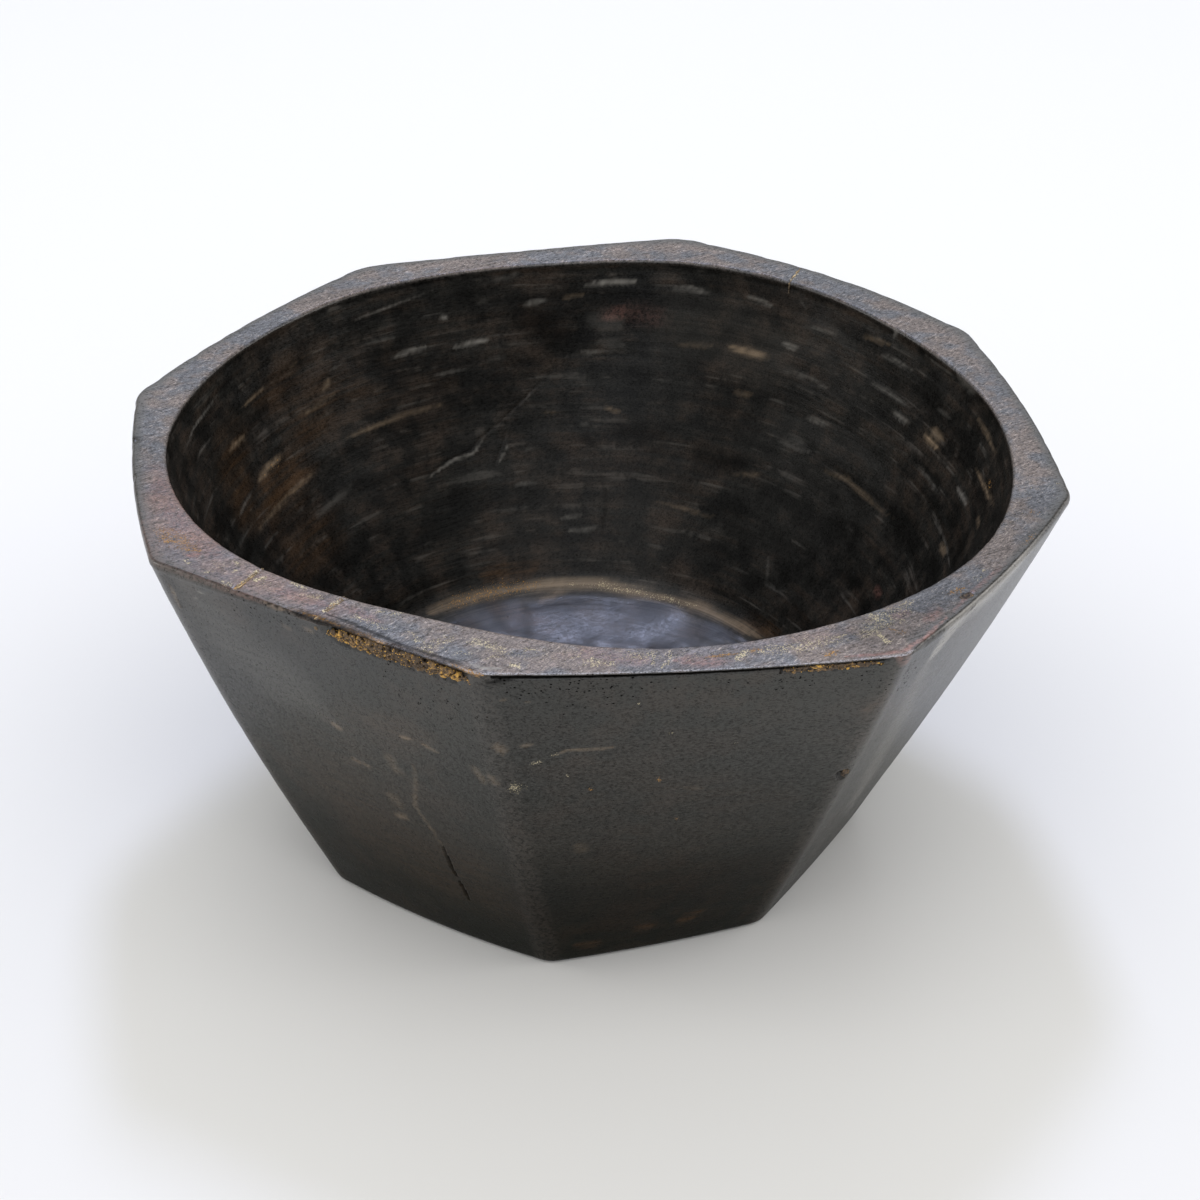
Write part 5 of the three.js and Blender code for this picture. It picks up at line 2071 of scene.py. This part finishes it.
    def tones(self, stage: np.ndarray, points: np.ndarray, tree: BVHTree) -> dict[Tone, np.ndarray]:
        """How strongly each tone of mark shows at each point.

        Args:
            stage: Places along the section.
            points: Places in millimetres.
            tree: The skin, for what is placed by a pixel.

        Returns:
            For each tone, numbers from 0 to 1.
        """
        shown = {tone: np.zeros(len(points)) for tone in Tone}
        for first, last, zone in self.marks:
            allowed = smooth(first, first + 0.1, stage + 1e-9) * (1 - smooth(last - 0.1, last, stage))
            for mark in zone:
                line = self.cast(tree, mark.pixels)
                if not len(line):
                    log.info("a mark at %s misses the bowl", mark.pixels[0])
                    continue
                reach = mark.width * self.mark_reach
                near = np.all((points > line.min(0) - reach) & (points < line.max(0) + reach), axis=1)
                near &= allowed > 0
                if near.any():
                    level = allowed[near] * self.tone_level(mark, points[near], line)
                    shown[mark.tone][near] = np.maximum(shown[mark.tone][near], level)
        return shown

    def zones(self, around: np.ndarray, stage: np.ndarray) -> dict[str, np.ndarray]:
        """How far each point belongs to the rim and the hollow, how rubbed it is, which also paints a soft
        highlight along the ridges, and where the crisp edge gets its painted glint.

        Args:
            around: Places round the bowl.
            stage: Places along the section.

        Returns:
            For each name, numbers from 0 to 1.
        """
        spans, length = self.spans, self.side_length
        within = np.abs(around % 1 - (SIDE_SPAN + 1) / 2) * length
        ridge = 1 - smooth(*self.ridge_reach, np.minimum(within, length - within))
        ridge *= between(spans.shown_ridge, stage)
        arris, lip = between(spans.shown_arris, stage), between(spans.shown_lip, stage)
        crisp = 1 - smooth(0.25, 0.6, self.block.roll_share(around))
        start = spans.shown_rim_start + spans.shown_rim_shift * (1 - crisp)
        rim = smooth(start, start + spans.shown_rim_rise, stage) * (1 - smooth(*spans.shown_rim_end, stage))
        return {
            "rim": rim,
            "hollow": smooth(*spans.shown_hollow, stage),
            # Rubbed and lighter; along the ridges also a painted soft highlight.
            "wear": np.clip(0.55 * ridge + 0.6 * arris + 0.5 * lip, 0, 1),
            # The painted glint along the crisp front edge.
            "edge": crisp * between(spans.shown_glint, stage),
        }

    def build(self, wood: bpy.types.Material) -> bpy.types.Object:
        """Makes the carved block.

        Args:
            wood: Its finish.

        Returns:
            The object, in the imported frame.
        """
        net, layers = self.sheet()
        self.lay(net, layers)
        tree = BVHTree.FromBMesh(net)
        self.refine(net, layers, tree)
        points = self.lay(net, layers)
        tree = BVHTree.FromBMesh(net)
        bmesh.ops.triangulate(net, faces=[face for face in net.faces if len(face.verts) > 4])
        net.normal_update()
        normals = np.array([tuple(v.normal) for v in net.verts])
        around, stage = self.places(net, layers)
        crack_and_shadow = self.wear(around, stage, points, normals, tree)
        shares = {**self.zones(around, stage), "crack_and_shadow": crack_and_shadow}
        shares.update({tone.value: level for tone, level in self.tones(stage, points, tree).items()})
        swept = self.sweep(points, stage)
        moved = (points + self.offset()) * MM
        keep = [net.verts.layers.float.new(name) for name in shares]
        sweep_layer = net.verts.layers.float_vector.new("sweep")
        values = np.stack(list(shares.values()), axis=1).tolist()
        for vertex, place, levels, swirl in zip(net.verts, moved.tolist(), values, swept.tolist()):
            vertex.co = place
            vertex[sweep_layer] = swirl
            for layer, level in zip(keep, levels):
                vertex[layer] = level
        bmesh.ops.remove_doubles(net, verts=net.verts, dist=self.merge_gap * MM)
        bmesh.ops.dissolve_degenerate(net, edges=net.edges, dist=self.merge_gap * MM)
        for face in net.faces:
            face.smooth = True
        if net.calc_volume(signed=True) < 0:
            bmesh.ops.reverse_faces(net, faces=net.faces)
        mesh = bpy.data.meshes.new("carved_block")
        net.to_mesh(mesh)
        net.free()
        for name in ("around", "stage"):
            mesh.attributes.remove(mesh.attributes[name])
        mesh.materials.append(wood)
        block = linked_object("carved_block", mesh)
        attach(block, "root")
        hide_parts("bowl_body")
        return block


class GrainTree:
    """The geometry nodes that scatter grains over a fill, with their sizes as named inputs."""

    def __init__(self, finish: bpy.types.Material) -> None:
        """Builds the tree.

        Args:
            finish: The finish of the fill and its grains.
        """
        self.tree = bpy.data.node_groups.new("scatter_grains", "GeometryNodeTree")
        face = self.tree.interface
        face.new_socket("Geometry", in_out="INPUT", socket_type="NodeSocketGeometry")
        self.inputs = {}
        for name, kind in (("Grains per square metre", "NodeSocketFloat"), ("Grain size", "NodeSocketFloat"),
                           ("Seed", "NodeSocketInt")):
            self.inputs[name] = face.new_socket(name, in_out="INPUT", socket_type=kind).identifier
        face.new_socket("Geometry", in_out="OUTPUT", socket_type="NodeSocketGeometry")
        graph = NodeGraph(self.tree)
        given = graph.node("NodeGroupInput")
        spots = graph.node("GeometryNodeDistributePointsOnFaces", {"distribute_method": "RANDOM"}, {
            "Mesh": given.outputs["Geometry"],
            "Density": given.outputs["Grains per square metre"],
            "Seed": given.outputs["Seed"],
        })
        grain = graph.node("GeometryNodeMeshIcoSphere", None, {
            "Radius": given.outputs["Grain size"], "Subdivisions": 1,
        })
        stretch = graph.node("FunctionNodeRandomValue", {"data_type": "FLOAT_VECTOR"}, {
            0: (0.5, 0.5, 0.35), 1: (1.5, 1.3, 0.9), "Seed": given.outputs["Seed"],
        })
        tilt = graph.node("FunctionNodeRandomValue", {"data_type": "FLOAT_VECTOR"}, {
            0: (-1.2, -1.2, -3.1), 1: (1.2, 1.2, 3.1), "Seed": 5,
        })
        copies = graph.node("GeometryNodeInstanceOnPoints", None, {
            "Points": spots.outputs["Points"],
            "Instance": grain.outputs["Mesh"],
            "Rotation": tilt.outputs[0],
            "Scale": stretch.outputs[0],
        })
        tone = graph.node("FunctionNodeRandomValue", {"data_type": "FLOAT"}, {"Seed": 9})
        told = graph.node("GeometryNodeStoreNamedAttribute", {"data_type": "FLOAT", "domain": "INSTANCE"}, {
            "Geometry": copies.outputs["Instances"],
            "Name": "grain_tone",
            "Value": tone.outputs[1],
        })
        joined = graph.node("GeometryNodeJoinGeometry")
        graph.feed(joined.inputs[0], told.outputs["Geometry"])
        graph.feed(joined.inputs[0], given.outputs["Geometry"])
        real = graph.node("GeometryNodeRealizeInstances", None, {"Geometry": joined.outputs[0]})
        smooth_grains = graph.node("GeometryNodeSetShadeSmooth", None, {"Geometry": real.outputs[0]})
        dressed = graph.node("GeometryNodeSetMaterial", None, {
            "Geometry": smooth_grains.outputs[0], "Material": finish,
        })
        graph.node("NodeGroupOutput", None, {"Geometry": dressed.outputs[0]})

    def apply(self, piece: bpy.types.Object, density: float, size: float, seed: int) -> bpy.types.Mesh:
        """Scatters grains on a piece.

        Args:
            piece: The object.
            density: Grains on each square millimetre.
            size: Radius of a grain in millimetres.
            seed: Seed of the scatter.

        Returns:
            The piece's mesh with the grains.
        """
        layer = piece.modifiers.new("grains", "NODES")
        layer.node_group = self.tree
        layer[self.inputs["Grains per square metre"]] = density / MM ** 2
        layer[self.inputs["Grain size"]] = size * MM
        layer[self.inputs["Seed"]] = seed
        return worked_in(piece, layer)


@dataclass
class PackedFill:
    """One lump of hardened filler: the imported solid, roughened, pitted and strewn with grains.

    The sizes are in millimetres. Each place in `rich` is where bright ochre shows: its share of the
    way from the lump's left end, how far it reaches and how strong it is.
    """

    node: str
    name: str
    grains: GrainTree
    grain_density: float
    grain_size: float
    voxel: float = 0.24
    lift: float = 0.0
    proud: float = 0.0
    swell: float = 0.22
    grit: float = 0.10
    pit_depth: float = 0.35
    strand: float = 5.0
    rich: tuple[tuple[float, float, float], ...] = ()
    seed: int = 1
    # How dull the lump is between its rich places.
    dulled: float = 0.22
    swell_width: float = 1.2
    grit_width: float = 0.45
    strand_width: float = 0.42
    pit_width: float = 0.58
    pit_edge: tuple[float, float] = (0.14, 0.36)
    tone_width: float = 4.5

    def core(self) -> bpy.types.Object:
        """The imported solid's mesh, evenly meshed.

        Returns:
            An object with that mesh.
        """
        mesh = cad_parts[self.node].data.copy()
        net = bmesh.new()
        net.from_mesh(mesh)
        bmesh.ops.remove_doubles(net, verts=net.verts, dist=1e-6)
        net.to_mesh(mesh)
        net.free()
        piece = linked_object(self.name, mesh)
        layer = piece.modifiers.new("even", "REMESH")
        layer.mode = "VOXEL"
        layer.voxel_size = self.voxel * MM
        layer.adaptivity = 0
        piece.data = worked_in(piece, layer)
        return piece

    @staticmethod
    def vectors(mesh: bpy.types.Mesh, name: str) -> np.ndarray:
        """A vector of each of a mesh's points.

        Args:
            mesh: The mesh.
            name: "co" for places or "normal".

        Returns:
            One vector per row.
        """
        values = np.empty(len(mesh.vertices) * 3)
        mesh.vertices.foreach_get(name, values)
        return values.reshape(-1, 3)

    def roughen(self, mesh: bpy.types.Mesh) -> None:
        """Swells and pits the surface in strands along the lump, and keeps where the pits are.

        Args:
            mesh: The mesh, which is changed in place.
        """
        points, normals = self.vectors(mesh, "co") / MM, self.vectors(mesh, "normal")
        along = np.linalg.svd(points - points.mean(0), full_matrices=False)[2][0]
        pulled = points - np.outer(points @ along, along) * (1 - 1 / self.strand)
        lift = self.proud + self.swell * (noise_at(points, self.swell_width, self.seed) - 0.25)
        lift += self.grit * noise_at(points, self.grit_width, self.seed + 5)
        strands = noise_at(pulled, self.strand_width, self.seed + 7)
        lift += self.swell * 0.8 * strands
        hole = smooth(*self.pit_edge, noise_at(points, self.pit_width, self.seed + 9) - 0.30 * strands)
        moved = points + normals * (lift - self.pit_depth * hole)[:, None]
        moved[:, 2] += self.lift
        # Grains are up to 1.35 of their size high, so the lump stops that much below the top.
        top = cad_box[1][2] / MM - 1.35 * self.grain_size
        moved[:, 2] = np.minimum(moved[:, 2], top)
        mesh.vertices.foreach_set("co", (moved * MM).ravel())
        tone = 0.34 + 0.60 * strands + 0.95 * noise_at(points, self.tone_width, 3.0)
        share = (points[:, 0] - points[:, 0].min()) / np.ptp(points[:, 0])
        for middle, reach, strength in self.rich:
            tone += strength * np.exp(-((share - middle) / reach) ** 2)
        tone = np.clip(tone - self.dulled * bool(self.rich), 0, 1)
        for name, values in (("pit", hole), ("grain_tone", tone)):
            layer = mesh.attributes.new(name, "FLOAT", "POINT")
            layer.data.foreach_set("value", values)
        mesh.update()

    def build(self) -> bpy.types.Object:
        """Makes the lump in its place.

        Returns:
            The object.
        """
        piece = self.core()
        self.roughen(piece.data)
        piece.data = self.grains.apply(piece, self.grain_density, self.grain_size, self.seed)
        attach(piece, "root")
        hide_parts(self.node)
        return piece


def main() -> None:
    """Builds the studio, the carved block and its fills, and reports each piece."""
    logging.basicConfig(level=logging.INFO, format="%(message)s")
    photo = PhotoCamera()
    photo.build()
    Studio().build()
    wood = Hardwood().build()
    block = BowlBody(photo).build(wood)
    log.info("%s: %d faces", block.name, len(block.data.polygons))
    ochre = OchreFill("ochre_fill").build()
    pale = OchreFill("pale_fill", (0.66, 0.50, 0.27), (0.40, 0.27, 0.125), (0.15, 0.105, 0.06)).build()
    strewn, plain = GrainTree(ochre), GrainTree(pale)
    fills = (
        PackedFill("check_fill_left_1", "ochre_in_left_check_1", plain, 1.2, 0.13,
                   lift=0.30, swell=0.30, seed=1),
        PackedFill("check_fill_left_2", "ochre_in_left_check_2", plain, 1.2, 0.13,
                   lift=0.24, swell=0.42, seed=2),
        PackedFill("check_fill_back", "ochre_in_back_check", plain, 0.5, 0.11,
                   lift=0.26, swell=0.24, seed=3),
        PackedFill("arris_fill_left", "crust_under_left_rim", strewn, 3.2, 0.17, voxel=0.17, proud=0.62,
                   swell=0.42, pit_depth=1.0, strand=2.4, seed=4,
                   rich=((0.24, 0.16, 0.42), (0.58, 0.05, 0.26), (0.92, 0.09, 0.36))),
        PackedFill("arris_fill_front", "crust_under_front_rim", strewn, 2.4, 0.15, voxel=0.17, proud=0.15,
                   swell=0.40, pit_depth=0.8, strand=2.4, seed=5),
        PackedFill("plug_right", "plug_in_right_rim", strewn, 1.0, 0.16, lift=0.30, swell=0.30, seed=6),
        PackedFill("ridge_fill", "fill_in_ridge_nick", strewn, 0.8, 0.16, seed=7),
    )
    for fill in fills:
        piece = fill.build()
        log.info("%s: %d faces", piece.name, len(piece.data.polygons))


if __name__ == "__main__":
    main()
